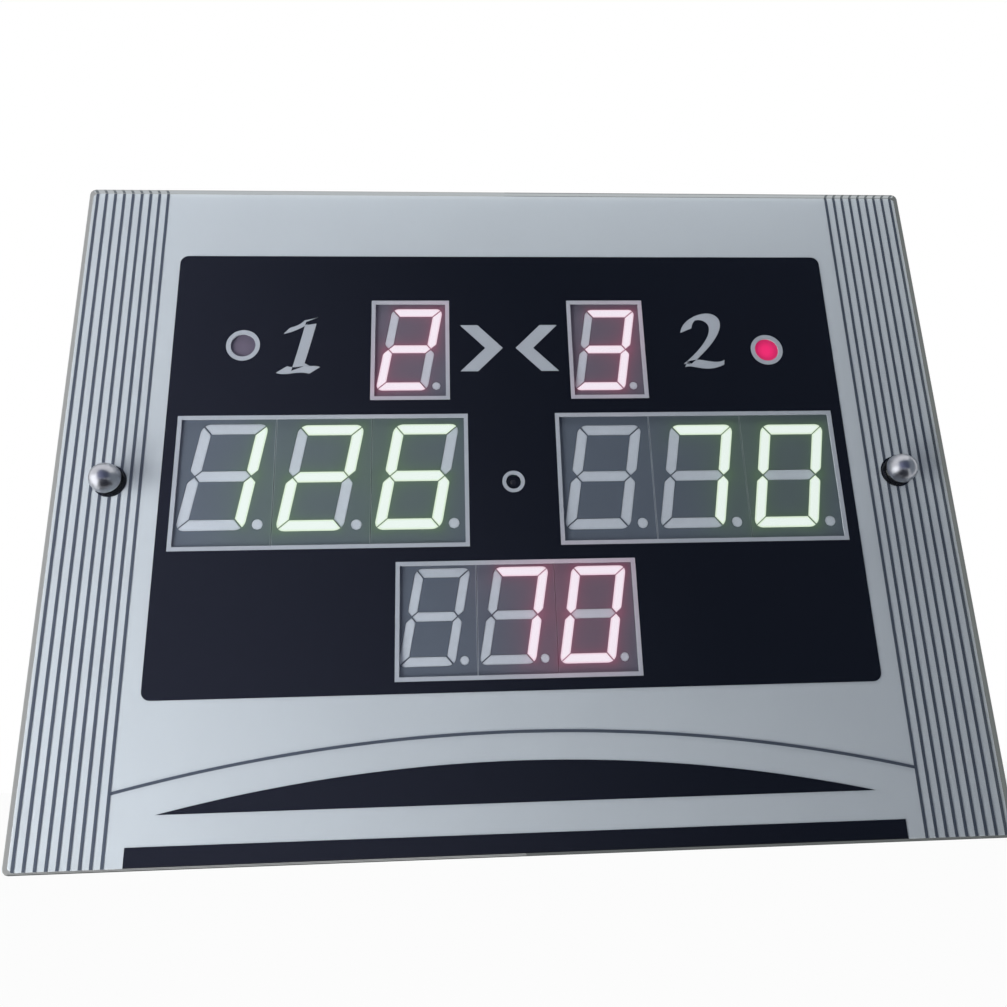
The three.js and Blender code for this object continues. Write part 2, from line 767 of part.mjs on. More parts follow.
// Remote-control receiver: a moulded body with a dome, on three wire legs
function makeReceiver() {
  const domeRadius = receiverDomeDiameter / 2;
  const domeTop = filmRear - seatGap;
  const bodyFront = domeTop - domeRadius;
  const body = block(
    receiverWidth,
    receiverHeight,
    receiverThickness,
    0,
    receiverRise,
    bodyFront - receiverThickness / 2,
  );
  const curve = arcPoints(0, bodyFront, domeRadius, 0, Math.PI / 2, domeRings).map((p) => [p.x, p.y]);
  curve.at(-1)[0] = 0;
  const foot = bodyFront - receiverThickness / 2;
  const dome = turnedForward([[0, foot], [domeRadius, foot], ...curve], holeFacets);
  const legRear = boardFront + seatGap;
  const legs = [-leadSpacing, 0, leadSpacing].map((x) =>
    block(leadWidth, leadWidth, foot - legRear, x, receiverRise, (foot + legRear) / 2),
  );
  piece("remote_receiver", joined([body, dome.translate([0, receiverRise, 0]), ...legs]), receiverBlack);
}

// Domed caps on their bolts, with a washer between each cap and the sheet
function makeCaps() {
  const washerRear = sheetFront + seatGap;
  const capRear = washerRear + washerThickness + seatGap;
  const radius = capDiameter / 2;
  const domeFoot = capRear + capSkirt;
  const dome = arcPoints(0, domeFoot, radius, 0, Math.PI / 2, domeRings).map((p) => [p.x, p.y]);
  dome.at(-1)[0] = 0;
  const boreRadius = boltDiameter / 2 + runningGap;
  const boreEnd = capRear + capBoreDepth;
  const cap = turnedForward(
    [[0, boreEnd], [boreRadius, boreEnd], [boreRadius, capRear], [radius, capRear], ...dome],
    domeFacets,
  );
  const headFront = trayPlateRear - boltBossHeight - seatGap;
  const boltEnd = capRear + capBoreDepth - boltEndGap;
  const boltProfile = [
    [0, headFront - boltHeadThickness],
    [boltHeadDiameter / 2, headFront - boltHeadThickness],
    [boltHeadDiameter / 2, headFront],
    [boltDiameter / 2, headFront],
    [boltDiameter / 2, boltEnd],
    [0, boltEnd],
  ];
  const bolt = turnedForward(boltProfile, holeFacets);
  for (const [side, x] of boltPlaces) {
    const hole = circle(x, capRise, boltDiameter + 2 * seatGap);
    const outline = circle(x, capRise, washerDiameter, roundFacets);
    piece(`${side}_bolt`, bolt.translate([x, capRise, 0]), zincSteel);
    piece(`${side}_washer`, plate(outline, washerThickness, washerRear, [hole]), clearNylon);
    piece(`${side}_cap`, cap.translate([x, capRise, 0]), chrome);
  }
}

// A chip on the rear of the board: a drafted body with a row of legs down each side
function chipSolid(size) {
  const bodyRear = boardRear - seatGap - size.standoff - size.height;
  const middle = bodyRear + size.height / 2;
  const half = size.width / 2;
  const profile = [
    [-half + chipDraft, -size.height / 2],
    [half - chipDraft, -size.height / 2],
    [half, 0],
    [half - chipDraft, size.height / 2],
    [-half + chipDraft, size.height / 2],
    [-half, 0],
  ].map(([x, y]) => new THREE.Vector2(x, y));
  const lying = plate(profile, size.length, -size.length / 2).rotate([90, 0, 0]);
  const body = lying.translate([0, 0, middle]);
  const legEnd = half + size.legReach - chipDraft;
  const legFoot = boardRear - seatGap;
  const legOutline = [
    [half - chipDraft, middle - leadWidth / 2],
    [legEnd, middle - leadWidth / 2],
    [legEnd, legFoot],
    [legEnd - leadWidth, legFoot],
    [legEnd - leadWidth, middle + leadWidth / 2],
    [half - chipDraft, middle + leadWidth / 2],
  ].map(([x, y]) => new THREE.Vector2(x, y));
  const leg = plate(legOutline, leadWidth, -leadWidth / 2).rotate([90, 0, 0]);
  const legs = Array.from({ length: size.legs }, (_, i) =>
    leg.translate([0, (i - (size.legs - 1) / 2) * size.legPitch, 0]),
  );
  return joined([body, ...legs, ...legs.map((one) => one.mirror([1, 0, 0]))]);
}

// The parts on the rear of the board
function makeElectronics() {
  const foot = boardRear - seatGap;
  const place = (name, solid, [shareX, shareY], material) =>
    piece(name, solid.translate([shareX * boardWidth, windowMiddle + shareY * boardHeight, 0]), material);
  const driverSolid = chipSolid(driver);
  place("controller_chip", chipSolid(chip), boardPlaceShares.controller, receiverBlack);
  place("left_driver_chip", driverSolid, boardPlaceShares.leftDriver, receiverBlack);
  place("right_driver_chip", driverSolid, boardPlaceShares.rightDriver, receiverBlack);

  const bodyTop = regulator.bodyLength / 2;
  const tabTop = bodyTop + regulator.tabLength;
  const tabOutline = rectangle(regulator.width, tabTop, 0, tabTop / 2);
  const tabHole = circle(0, bodyTop + regulator.tabLength / 2, regulator.hole);
  const tab = plate(tabOutline, regulator.tabThickness, foot - regulator.tabThickness, [tabHole]);
  const bodyOutline = rectangle(regulator.width, regulator.bodyLength);
  const body = plate(bodyOutline, regulator.height, foot - regulator.height);
  place("voltage_regulator", joined([body, tab]), boardPlaceShares.regulator, receiverBlack);

  const canRadius = capacitor.diameter / 2;
  const grooveFront = foot - capacitor.grooveFoot;
  const can = turnedForward([
    [0, foot - capacitor.height],
    [canRadius, foot - capacitor.height],
    [canRadius, grooveFront - capacitor.grooveWidth],
    [canRadius - capacitor.groove, grooveFront - capacitor.grooveWidth / 2],
    [canRadius, grooveFront],
    [canRadius, foot],
    [0, foot],
  ]);
  place("smoothing_capacitor", can, boardPlaceShares.capacitor, canBlue);

  const buzzerRadius = buzzer.diameter / 2;
  const buzzerRear = foot - buzzer.height;
  const buzzerSolid = turnedForward([
    [0, buzzerRear + buzzer.mouthDepth],
    [buzzer.mouth / 2, buzzerRear + buzzer.mouthDepth],
    [buzzer.mouth / 2, buzzerRear],
    [buzzerRadius - buzzer.rim, buzzerRear],
    [buzzerRadius, buzzerRear + buzzer.rim],
    [buzzerRadius, foot],
    [0, foot],
  ]);
  place("buzzer", buzzerSolid, boardPlaceShares.buzzer, receiverBlack);
}

// Power inlet. Heights are from the outer face of the tray's lower wall, inwards and so upwards.
const inletMiddle = (trayRear + trayFront) / 2;
const lowerWallFace = -trayHeight / 2;
const inletPlace = [inletSide, lowerWallFace, inletMiddle];

function inletCut() {
  const tool = turnedUp([
    [0, -overrun],
    [inletBarrelDiameter / 2 + seatGap, -overrun],
    [inletBarrelDiameter / 2 + seatGap, trayWall + overrun],
    [0, trayWall + overrun],
  ]);
  return tool.translate(inletPlace);
}

function makeInlet() {
  const flangeFace = -seatGap - inletFlangeThickness;
  const bore = inletBoreDiameter / 2;
  const boreEnd = flangeFace + inletBoreDepth;
  const pinHole = inletPinDiameter / 2 + seatGap;
  const barrelEnd = inletBarrelLength;
  const barrel = inletBarrelDiameter / 2;
  const body = turnedUp([
    [bore, flangeFace],
    [inletFlangeDiameter / 2, flangeFace],
    [inletFlangeDiameter / 2, -seatGap],
    [barrel, -seatGap],
    [barrel, barrelEnd],
    [pinHole, barrelEnd],
    [pinHole, boreEnd],
    [bore, boreEnd],
  ]);
  piece("power_inlet", body.translate(inletPlace), blackPlastic);

  const pinRadius = inletPinDiameter / 2;
  const tip = flangeFace + inletPinRecess;
  const pin = turnedUp(
    [
      [0, tip],
      [pinRadius / 2, tip],
      [pinRadius, tip + pinRadius / 2],
      [pinRadius, barrelEnd + inletTail],
      [0, barrelEnd + inletTail],
    ],
    holeFacets,
  );
  piece("inlet_pin", pin.translate(inletPlace), zincSteel);

  const nutFoot = trayWall + seatGap;
  const hexagon = circle(0, 0, inletNutAcross / Math.cos(Math.PI / 6), 6);
  const nutHole = circle(0, 0, inletBarrelDiameter + 2 * runningGap);
  const nut = plate(hexagon, inletNutThickness, 0, [nutHole]).rotate([-90, 0, 0]);
  piece("inlet_nut", nut.translate([0, nutFoot, 0]).translate(inletPlace), zincSteel);
}

// Power switch, in the same heights as the inlet
const switchPlace = [switchSide, lowerWallFace, inletMiddle];
const recessLength = rockerLength + 2 * swingRoom;
const recessWidth = rockerWidth + 2 * runningGap;
const switchLength = recessLength + 2 * switchWall;
const switchWidth = recessWidth + 2 * switchWall;
const bezelFace = -seatGap - bezelThickness;
const pivotHeight = bezelFace + pivotDepth;

function switchCut() {
  const height = trayWall + 2 * overrun;
  const tool = block(switchLength + 2 * seatGap, height, switchWidth + 2 * seatGap, 0, trayWall / 2, 0);
  return tool.translate(switchPlace);
}

function makeSwitch() {
  const bezelLength = switchLength + 2 * bezelMargin;
  const bezelWidth = switchWidth + 2 * bezelMargin;
  const bezelOutline = roundedRectangle(bezelLength, bezelWidth, bezelMargin);
  const bezelPlate = plate(bezelOutline, bezelThickness, 0).rotate([-90, 0, 0]);
  const bezel = bezelPlate.translate([0, bezelFace, 0]);
  const bodyEnd = switchDepth;
  const body = block(switchLength, bodyEnd - bezelFace, switchWidth, 0, (bodyEnd + bezelFace) / 2, 0);
  const recessHeight = recessDepth + overrun;
  const recessMiddle = bezelFace - overrun + recessHeight / 2;
  const recess = block(recessLength, recessHeight, recessWidth, 0, recessMiddle, 0);
  const pivotHole = rod(0, pivotHeight, pivotDiameter + 2 * runningGap, -switchWidth, switchWidth);
  const holeReach = recessWidth + 2 * (pivotLength + runningGap);
  const holeEnds = block(switchLength, pivotDiameter * 2, holeReach, 0, pivotHeight, 0);
  const solid = cut(joined([bezel, body]), [recess, pivotHole.intersect(holeEnds)]);
  piece("switch_body", solid.translate(switchPlace), blackPlastic);

  const half = rockerLength / 2;
  const profile = [
    [-half, -rockerEnd],
    [0, -rockerValley],
    [half, -rockerEnd],
    [half, -rockerEnd + rockerWing],
    [pivotDiameter, rockerKeel],
    [-pivotDiameter, rockerKeel],
    [-half, -rockerEnd + rockerWing],
  ].map(([x, y]) => new THREE.Vector2(x, y));
  const wings = plate(profile, rockerWidth, -rockerWidth / 2);
  const stubReach = rockerWidth / 2 + pivotLength;
  const rocker = wings.add(rod(0, 0, pivotDiameter, -stubReach, stubReach));
  const place = new THREE.Group();
  place.position.set(switchSide, lowerWallFace + pivotHeight, inletMiddle);
  place.rotation.z = rockerTilt;
  upright.add(place);
  piece("power_rocker", rocker, blackPlastic, place);
}

// Leads: from the inlet's tail to the switch, and from the switch up to the board's lower edge
function makeLeads() {
  const inletTop = lowerWallFace + inletBarrelLength + inletTail + seatGap;
  const switchTop = lowerWallFace + switchDepth + seatGap;
  const firstTag = switchSide - switchLength / 4;
  const secondTag = switchSide + switchLength / 4;
  const arch = new THREE.CatmullRomCurve3([
    new THREE.Vector3(inletSide, inletTop, inletMiddle),
    new THREE.Vector3(inletSide, inletTop + wireRise / 2, inletMiddle),
    new THREE.Vector3((inletSide + firstTag) / 2, Math.max(inletTop, switchTop) + wireRise, inletMiddle),
    new THREE.Vector3(firstTag, switchTop + wireRise / 2, inletMiddle),
    new THREE.Vector3(firstTag, switchTop, inletMiddle),
  ]);
  const boardEdgeY = windowBottom - seatGap;
  const boardMiddle = (boardRear + boardFront) / 2;
  const riser = new THREE.CatmullRomCurve3([
    new THREE.Vector3(secondTag, switchTop, inletMiddle),
    new THREE.Vector3(secondTag, switchTop + wireRise, inletMiddle),
    new THREE.Vector3(secondTag + wireRise, (switchTop + boardEdgeY) / 2, (inletMiddle + boardMiddle) / 2),
    new THREE.Vector3(secondTag + 2 * wireRise, boardEdgeY - wireRise, boardMiddle),
    new THREE.Vector3(secondTag + 2 * wireRise, boardEdgeY, boardMiddle),
  ]);
  const section = new THREE.Shape(circle(0, 0, wireDiameter, wireFacets));
  const settings = (path) => ({ steps: wireSteps, extrudePath: path, bevelEnabled: false });
  piece("inlet_lead", solidOf(new THREE.ExtrudeGeometry(section, settings(arch))), wireRed);
  piece("board_lead", solidOf(new THREE.ExtrudeGeometry(section, settings(riser))), wireRed);
}

makeSheet();
makeFilm();
makeFoam();
makeTray();
makeCover();
makeCoverScrews();
makeBoard();
makeDisplays();
makeLamps();
makeReceiver();
makeCaps();
makeElectronics();
makeInlet();
makeSwitch();
makeLeads();

export default scoreboard;
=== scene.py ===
"""Wall scoreboard: the printed sheet, lit displays, lamps and chromed caps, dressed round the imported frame.

Pieces are made in metres, in the frame's own axes: x to the right, z up, and the front faces -y.
"""

import math

import bmesh
import bpy
from bpy.props import (
    BoolProperty,
    FloatProperty,
    FloatVectorProperty,
    IntProperty,
    PointerProperty,
    StringProperty,
)
from bpy.types import Operator, Panel, PropertyGroup
from mathutils import Matrix, Vector
from mathutils.geometry import interpolate_bezier


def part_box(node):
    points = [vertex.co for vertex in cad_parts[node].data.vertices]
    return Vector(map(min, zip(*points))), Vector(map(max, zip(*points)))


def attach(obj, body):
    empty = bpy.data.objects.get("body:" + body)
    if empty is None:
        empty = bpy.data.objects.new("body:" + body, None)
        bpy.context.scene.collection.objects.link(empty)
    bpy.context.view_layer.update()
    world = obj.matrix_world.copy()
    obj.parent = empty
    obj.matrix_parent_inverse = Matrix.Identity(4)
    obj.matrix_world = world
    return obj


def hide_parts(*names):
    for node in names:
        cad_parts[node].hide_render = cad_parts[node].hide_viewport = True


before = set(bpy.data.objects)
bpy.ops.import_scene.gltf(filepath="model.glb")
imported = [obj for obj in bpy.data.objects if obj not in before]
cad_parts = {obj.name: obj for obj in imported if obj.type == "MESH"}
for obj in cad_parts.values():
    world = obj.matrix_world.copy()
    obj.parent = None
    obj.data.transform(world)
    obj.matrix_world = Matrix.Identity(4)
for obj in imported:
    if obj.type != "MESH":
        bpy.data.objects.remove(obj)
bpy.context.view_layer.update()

bl_info = {
    "name": "Wall Scoreboard",
    "version": (1, 0, 0),
    "blender": (4, 5, 0),
    "location": "View3D > Sidebar > Scoreboard",
    "description": "Dresses a wall scoreboard: printed sheet, lit displays, lamps, caps, housing and stage",
    "category": "Object",
}

MM = 0.001
SAME_PLACE = 0.001 * MM  # points nearer to each other than this are one
SHEET_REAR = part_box("front_sheet")[1].y
FILM_LOW, FILM_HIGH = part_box("printed_film")
CAST_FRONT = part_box("left_sets_digit_1")[0].y

SIDES = ("left", "right")

# Display rows: number of modules, middle of the window in front of them in mm, form of their digits, and glow
ROWS = {
    "left_score": {"count": 3, "middle": -97.888, "rise": 5.1, "form": "large", "glow": "green"},
    "right_score": {"count": 3, "middle": 97.888, "rise": 5.1, "form": "large", "glow": "green"},
    "left_sets": {"count": 1, "middle": -53.314, "rise": 78.2, "form": "small", "glow": "red"},
    "right_sets": {"count": 1, "middle": 53.314, "rise": 78.2, "form": "small", "glow": "red"},
    "lower_score": {"count": 3, "middle": 0, "rise": -67.2, "form": "small", "glow": "red"},
}

# Digit forms in mm, as the castings stand in their shells. Shift and lift move a digit off its shell's
# middle. Lap is how far the print covers the shells at the sides, then at top and foot
FORMS = {
    "large": {
        "width": 33.7,
        "height": 56.4,
        "bar": 5.4,
        "shift": -1.1,
        "lift": 1.4,
        "joint": 0.8,
        "corner": 4.5,
        "point": 5.5,
        "point_side": 17.5,
        "point_drop": 25.4,
        "lap": (1.1, 1.35),
    },
    "small": {
        "width": 27.2,
        "height": 47.8,
        "bar": 4.4,
        "shift": -1,
        "lift": 0.8,
        "joint": 0.75,
        "corner": 3.5,
        "point": 4.4,
        "point_side": 13.2,
        "point_drop": 21.5,
        "lap": (0.55, 0.9),
    },
}
SLANT = math.radians(10)
SWELL = 0.12  # mm that a cast bar fills of the gap round it
SHOULDER = 2.2  # mm, rounding of a side bar beside the middle bar
BAR_EDGE = 0.2 * MM  # rounding of a cast bar's front edge
BLOCK_DEPTH = 2.2 * MM  # from a cast bar's front back to the block that it stands on
BAR_ROOT = 0.4 * MM  # of a cast bar inside the block
SEAM_WIDTH = 0.9 * MM  # bare line where two shells meet
SPILL_NEAR, SPILL_FAR = 1.3 * MM, 8 * MM  # ways on which the two parts of spilled light fade to a third

# Diameters of the clear windows and holes in the print, then the sheet's dull rim with the painted glow of
# the ground edges, in from the film's edge
LAMP_HOLE = 13.1 * MM
RECEIVER_HOLE = 7.9 * MM
BOLT_HOLE = 7 * MM
RIM_WIDTH = 0.3 * MM
RIM_CORNER = 2.4 * MM

# Radii of the caps' bore and the washers' hole, each with its depth or how far the edges are broken
CAP_BORE, CAP_BORE_DEPTH = 2.7 * MM, 5.5 * MM
WASHER_HOLE, WASHER_EDGE = 2.8 * MM, 0.15 * MM

PAD_PITCH = 2.54 * MM  # of the circuit board's pads
CARD_DEPTH = 0.01  # thickness in metres of the cards that gloss shows
EYE_TURN = (105.5387, 1.6185, -2.7537)  # the camera's, in degrees about x, y and z

# The bars that a blank and each figure light: a at the top, then clockwise to f, and g in the middle
BARS = ("", "abcdef", "bc", "abdeg", "abcdg", "bcfg", "acdfg", "acdefg", "abc", "abcdefg", "abcdfg")
LIT_BARS = dict(zip(" 0123456789", BARS))


def seen(red, green, blue):
    """A colour as it looks on a screen, 0 to 255, as the linear values that a shader takes."""
    return tuple(
        v / 12.92 if v <= 0.04045 else ((v + 0.055) / 1.055) ** 2.4
        for v in (red / 255, green / 255, blue / 255)
    )


def colour_property(name, description, red, green, blue):
    return FloatVectorProperty(
        name=name,
        description=description,
        subtype="COLOR",
        size=3,
        min=0,
        max=1,
        default=seen(red, green, blue),
    )


def length_property(name, description, millimetres):
    return FloatProperty(name=name, description=description, unit="LENGTH", default=millimetres * MM)


class ScoreboardPrint(PropertyGroup):
    """Sizes and inks of the print on the back of the sheet."""

    line_count: IntProperty(name="Side lines", description="Dark lines down each side", default=9)
    line_width: length_property("Line width", "Width of one side line", 1.45)
    line_pitch: length_property("Line pitch", "From one side line to the next", 4.82)
    line_start: length_property("First line", "From the middle to the innermost side line", 188.55)
    window_side: length_property("Window side", "From the middle to a side of the dark window", 178.65)
    window_top: length_property("Window top", "From the middle to the top of the dark window", 134.9)
    window_foot: length_property("Window foot", "From the middle down to the window's lower edge", 102.1)
    window_corner: length_property("Window corner", "Radius of the dark window's corners", 4.5)
    frame_border: length_property("Frame border", "Width of the pale frame round a display", 2.1)
    arc_crown: length_property("Arc crown", "From the middle down to the top of the arc line", 120.8)
    arc_foot: length_property("Arc foot", "From the middle down to the ends of the arc line", 142.75)
    lens_side: length_property("Lens side", "From the middle to a tip of the lens shape", 167.5)
    lens_crown: length_property("Lens crown", "From the middle down to the lens shape's top", 133.85)
    lens_foot: length_property("Lens foot", "From the middle down to the lens shape's flat side", 152.35)
    bar_side: length_property("Bar side", "From the middle to an end of the foot bar", 179.6)
    bar_top: length_property("Bar top", "From the middle down to the foot bar", 165.6)
    lamp_ring: length_property("Lamp ring", "Outer diameter of a lamp's ring", 17.8)
    receiver_ring: length_property("Receiver ring", "Outer diameter of the receiver's ring", 11.6)
    cap_ring: length_property("Cap ring", "Outer diameter of the dark ring under a cap", 16.6)
    silver: colour_property("Silver", "Silver ground of the film", 191, 196, 202)
    pale: colour_property("Pale ink", "Frames, rings, numerals and chevrons", 171, 175, 184)
    line_ink: colour_property("Line ink", "Side lines and the arc line", 74, 80, 91)
    window_ink: colour_property("Window ink", "Dark window, cap rings, lens shape and bar", 9, 11, 17)


class ScoreboardDisplays(PropertyGroup):
    """What the displays show, and the colours of their light."""

    left_score: StringProperty(name="Left score", description="Figures of the left score", default="126")
    right_score: StringProperty(name="Right score", description="Figures of the right score", default=" 70")
    left_sets: StringProperty(name="Left sets", description="Figure of the left sets", default="2")
    right_sets: StringProperty(name="Right sets", description="Figure of the right sets", default="3")
    lower_score: StringProperty(name="Lower score", description="Figures at the foot", default=" 70")
    face: colour_property("Face", "Grey face of a module", 83, 90, 101)
    resin: colour_property("Resin", "Cast resin of an unlit bar", 192, 197, 206)
    green: colour_property("Green light", "Heart of a lit green bar", 235, 245, 238)
    green_rim: colour_property("Green rim", "Edge of a lit green bar", 220, 237, 211)
    # Painted light from the lit bars: a face's colour beside them, and the glow laid beside them on faces,
    # frames and unlit bars.
    green_face: colour_property("Green face", "Face beside a lit green bar", 80, 95, 82)
    green_spill: colour_property("Green spill", "Green light that falls beside a bar", 90, 122, 84)
    red: colour_property("Red light", "Heart of a lit red bar", 246, 233, 243)
    red_rim: colour_property("Red rim", "Edge of a lit red bar", 240, 211, 225)
    # The same painted light for the red rows.
    red_face: colour_property("Red face", "Face beside a lit red bar", 106, 82, 94)
    red_spill: colour_property("Red spill", "Red light that falls beside a bar", 176, 72, 108)


class ScoreboardLamps(PropertyGroup):
    """The two indicator lamps."""

    left_lit: BoolProperty(name="Left lamp", description="The left lamp is lit", default=False)
    right_lit: BoolProperty(name="Right lamp", description="The right lamp is lit", default=True)
    lit: colour_property("Lit", "Lens of a lit lamp", 220, 26, 99)
    unlit: colour_property("Unlit", "Lens of an unlit lamp", 98, 88, 104)


class ScoreboardCaps(PropertyGroup):
    """The chromed caps, and how finely caps and washers are turned."""

    steps: IntProperty(name="Steps", description="Steps round a turned piece", default=96)
    rim_round: length_property("Rim", "Rounding of a cap's lower rim", 0.35)
    chrome: colour_property("Chrome", "Plating of the caps", 190, 192, 199)


class ScoreboardHousing(PropertyGroup):
    """The black housing."""

    plastic: colour_property("Plastic", "Moulded black plastic", 34, 35, 38)


class ScoreboardStage(PropertyGroup):
    """Camera, floor and studio light."""

    eye: FloatVectorProperty(
        name="Eye",
        description="Place of the camera",
        subtype="TRANSLATION",
        default=(-0.02726, -0.41711, -0.11643),
    )
    lens: FloatProperty(name="Lens", description="Focal length in millimetres", default=28.146)
    floor_drop: FloatProperty(name="Floor", description="Depth of the floor", unit="LENGTH", default=0.9)
    key_power: FloatProperty(name="Key light", description="Power of the key light in watts", default=14.9)
    top_power: FloatProperty(name="Top light", description="Power of the top light in watts", default=4.2)
    rear_power: FloatProperty(name="Rear light", description="Power of the light behind in watts", default=20)
    room: FloatProperty(name="Room", description="Strength of the soft light all round", default=0.04)


# Shader maths


def math_operator(operation, reflected=False):
    """A method that joins a signal and another value with one Math node."""

    def joined(self, other):
        values = (other, self) if reflected else (self, other)
        return self.finish.node("ShaderNodeMath", {"operation": operation}, dict(enumerate(values)))

    return joined


class Signal:
    """A shader socket that Python's operators join with Math nodes."""

    __add__ = math_operator("ADD")
    __radd__ = math_operator("ADD", True)
    __sub__ = math_operator("SUBTRACT")
    __rsub__ = math_operator("SUBTRACT", True)
    __mul__ = math_operator("MULTIPLY")
    __rmul__ = math_operator("MULTIPLY", True)
    __truediv__ = math_operator("DIVIDE")
    __rpow__ = math_operator("POWER", True)
    __mod__ = math_operator("FLOORED_MODULO")
    __gt__ = math_operator("GREATER_THAN")
    __lt__ = math_operator("LESS_THAN")

    def __init__(self, finish, socket):
        self.finish = finish
        self.socket = socket

    def __abs__(self):
        return self.finish.node("ShaderNodeMath", {"operation": "ABSOLUTE"}, {0: self})

    def clamped(self):
        return self.finish.node("ShaderNodeClamp", {}, {"Value": self})

    def band(self, low, high):
        """1 where the signal is past high, 0 before low, and smooth between."""
        return self.finish.node(
            "ShaderNodeMapRange",
            {"interpolation_type": "SMOOTHSTEP"},
            {"Value": self, "From Min": low, "From Max": high},
        )


class Finish:
    """One procedural material, or the light of a world, while its nodes are laid down."""

    def __init__(self, name, owner=None):
        self.owner = owner or bpy.data.materials.new(name)
        self.owner.use_nodes = True
        self.tree = self.owner.node_tree
        self.tree.nodes.clear()

    def node(self, kind, settings, sockets, output=0):
        """A node of a kind: its settings first, then the values or links of its sockets."""
        node = self.tree.nodes.new(kind)
        for key, value in settings.items():
            setattr(node, key, value)
        for key, value in sockets.items():
            socket = node.inputs[key]
            if isinstance(value, Signal):
                self.tree.links.new(value.socket, socket)
            else:
                socket.default_value = (*value, 1) if socket.type == "RGBA" else value
        return Signal(self, node.outputs[output]) if node.outputs else None

    def place(self):
        """Object coordinates."""
        return self.node("ShaderNodeTexCoord", {}, {}, "Object")

    def axes(self):
        """The three Object coordinates, each by itself."""
        split = self.node("ShaderNodeSeparateXYZ", {}, {"Vector": self.place()})
        return [Signal(self, output) for output in split.socket.node.outputs]

    def vector(self, x, y, z):
        return self.node("ShaderNodeCombineXYZ", {}, {"X": x, "Y": y, "Z": z})

    def vector_math(self, operation, first, second=(0, 0, 0), output="Vector"):
        return self.node("ShaderNodeVectorMath", {"operation": operation}, {0: first, 1: second}, output)

    def length(self, across, up):
        """How far from a middle, from the two offsets."""
        return self.node("ShaderNodeMath", {"operation": "SQRT"}, {0: across * across + up * up})

    def attribute(self, name):
        return self.node("ShaderNodeAttribute", {"attribute_name": name}, {}, "Fac")

    def noise(self, grain, detail=2, roughness=0.5, stretch=(1, 1, 1)):
        """Noise whose features are about one grain across, drawn out along an axis by its stretch."""
        scale = tuple(1 / s for s in stretch)
        place = self.node("ShaderNodeMapping", {}, {"Vector": self.place(), "Scale": scale})
        sockets = {"Vector": place, "Scale": 1 / grain, "Detail": detail, "Roughness": roughness}
        return self.node("ShaderNodeTexNoise", {}, sockets)

    def mix(self, factor, first, second):
        """From the first colour to the second."""
        return self.node("ShaderNodeMix", {"data_type": "RGBA"}, {0: factor, 6: first, 7: second}, 2)

    def mottled(self, tone, colour, dark, light, lift=0.0):
        """A colour that a tone takes from a darker shade of it to a lighter one."""
        return self.mix(tone, shade(colour, dark), shade(colour, light, lift))

    def added(self, first, second):
        """Two colours of light together."""
        settings = {"data_type": "RGBA", "blend_type": "ADD"}
        return self.node("ShaderNodeMix", settings, {0: 1.0, 6: first, 7: second}, 2)

    def tinted(self, colour, strength):
        """A colour of light times a signal."""
        return self.node("ShaderNodeVectorMath", {"operation": "SCALE"}, {0: colour, "Scale": strength})

    def bump(self, height, depth, strength=1.0):
        return self.node("ShaderNodeBump", {}, {"Height": height, "Distance": depth, "Strength": strength})

    def emission(self, colour, strength=1.0):
        return self.node("ShaderNodeEmission", {}, {"Color": colour, "Strength": strength})

    def mix_shader(self, factor, first, second):
        """From the first shader to the second."""
        return self.node("ShaderNodeMixShader", {}, {0: factor, 1: first, 2: second})

    def principled(self, **sockets):
        """The shader of a surface; a socket's name is written with underscores for its spaces."""
        named = {key.replace("_", " "): value for key, value in sockets.items()}
        if "Emission Color" in named:
            named["Emission Strength"] = 1.0
        return self.node("ShaderNodeBsdfPrincipled", {}, named)

    def finished(self, surface):
        """The material, once its surface is joined to the output."""
        self.node("ShaderNodeOutputMaterial", {}, {"Surface": surface})
        return self.owner

    def skin(self, **sockets):
        """The material whose surface has these sockets."""
        return self.finished(self.principled(**sockets))


def shade(colour, factor, lift=0.0):
    """A colour made darker or lighter by a factor and a small lift, up to white."""
    return tuple(min(v * factor + lift, 1) for v in colour)


def mottle(grain, grain_share, cloud, cloud_share):
    """A tone from two noises, each with its share of change round the middle."""
    return ((grain - 0.5) * grain_share + (cloud - 0.5) * cloud_share + 0.5).clamped()


# Mesh helpers


def object_of(bm, name, *materials):
    """A bmesh as an object of that name, with its faces pointing out."""
    bmesh.ops.recalc_face_normals(bm, faces=bm.faces[:])
    mesh = bpy.data.meshes.new(name)
    bm.to_mesh(mesh)
    bm.free()
    for material in materials:
        mesh.materials.append(material)
    piece = bpy.data.objects.new(name, mesh)
    bpy.context.collection.objects.link(piece)
    return piece


def merged_copy(node):
    """A CAD node's mesh as a bmesh of its own, with its doubled points merged."""
    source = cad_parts[node].data
    bm = bmesh.new()
    verts = [bm.verts.new(v.co) for v in source.vertices]
    for polygon in source.polygons:
        bm.faces.new([verts[i] for i in polygon.vertices])
    bmesh.ops.remove_doubles(bm, verts=verts, dist=SAME_PLACE)
    return bm


def add_outline(bm, points, y):
    """A closed row of edges through points given by x and z."""
    verts = [bm.verts.new((x, y, z)) for x, z in points]
    for first, second in zip(verts, verts[1:] + verts[:1]):
        bm.edges.new((first, second))


def push_out(bm, faces, depth):
    """Faces drawn out along y into a closed slab."""
    drawn = bmesh.ops.extrude_face_region(bm, geom=faces)["geom"]
    verts = [v for v in drawn if isinstance(v, bmesh.types.BMVert)]
    bmesh.ops.translate(bm, verts=verts, vec=(0, depth, 0))


def slab(bm, outlines, front, depth):
    """A flat slab from its outlines, with those that lie inside another as its openings."""
    start = set(bm.edges)
    for points in outlines:
        add_outline(bm, points, front)
    edges = [e for e in bm.edges if e not in start]
    filled = bmesh.ops.triangle_fill(bm, use_beauty=True, edges=edges)["geom"]
    push_out(bm, [f for f in filled if isinstance(f, bmesh.types.BMFace)], depth)


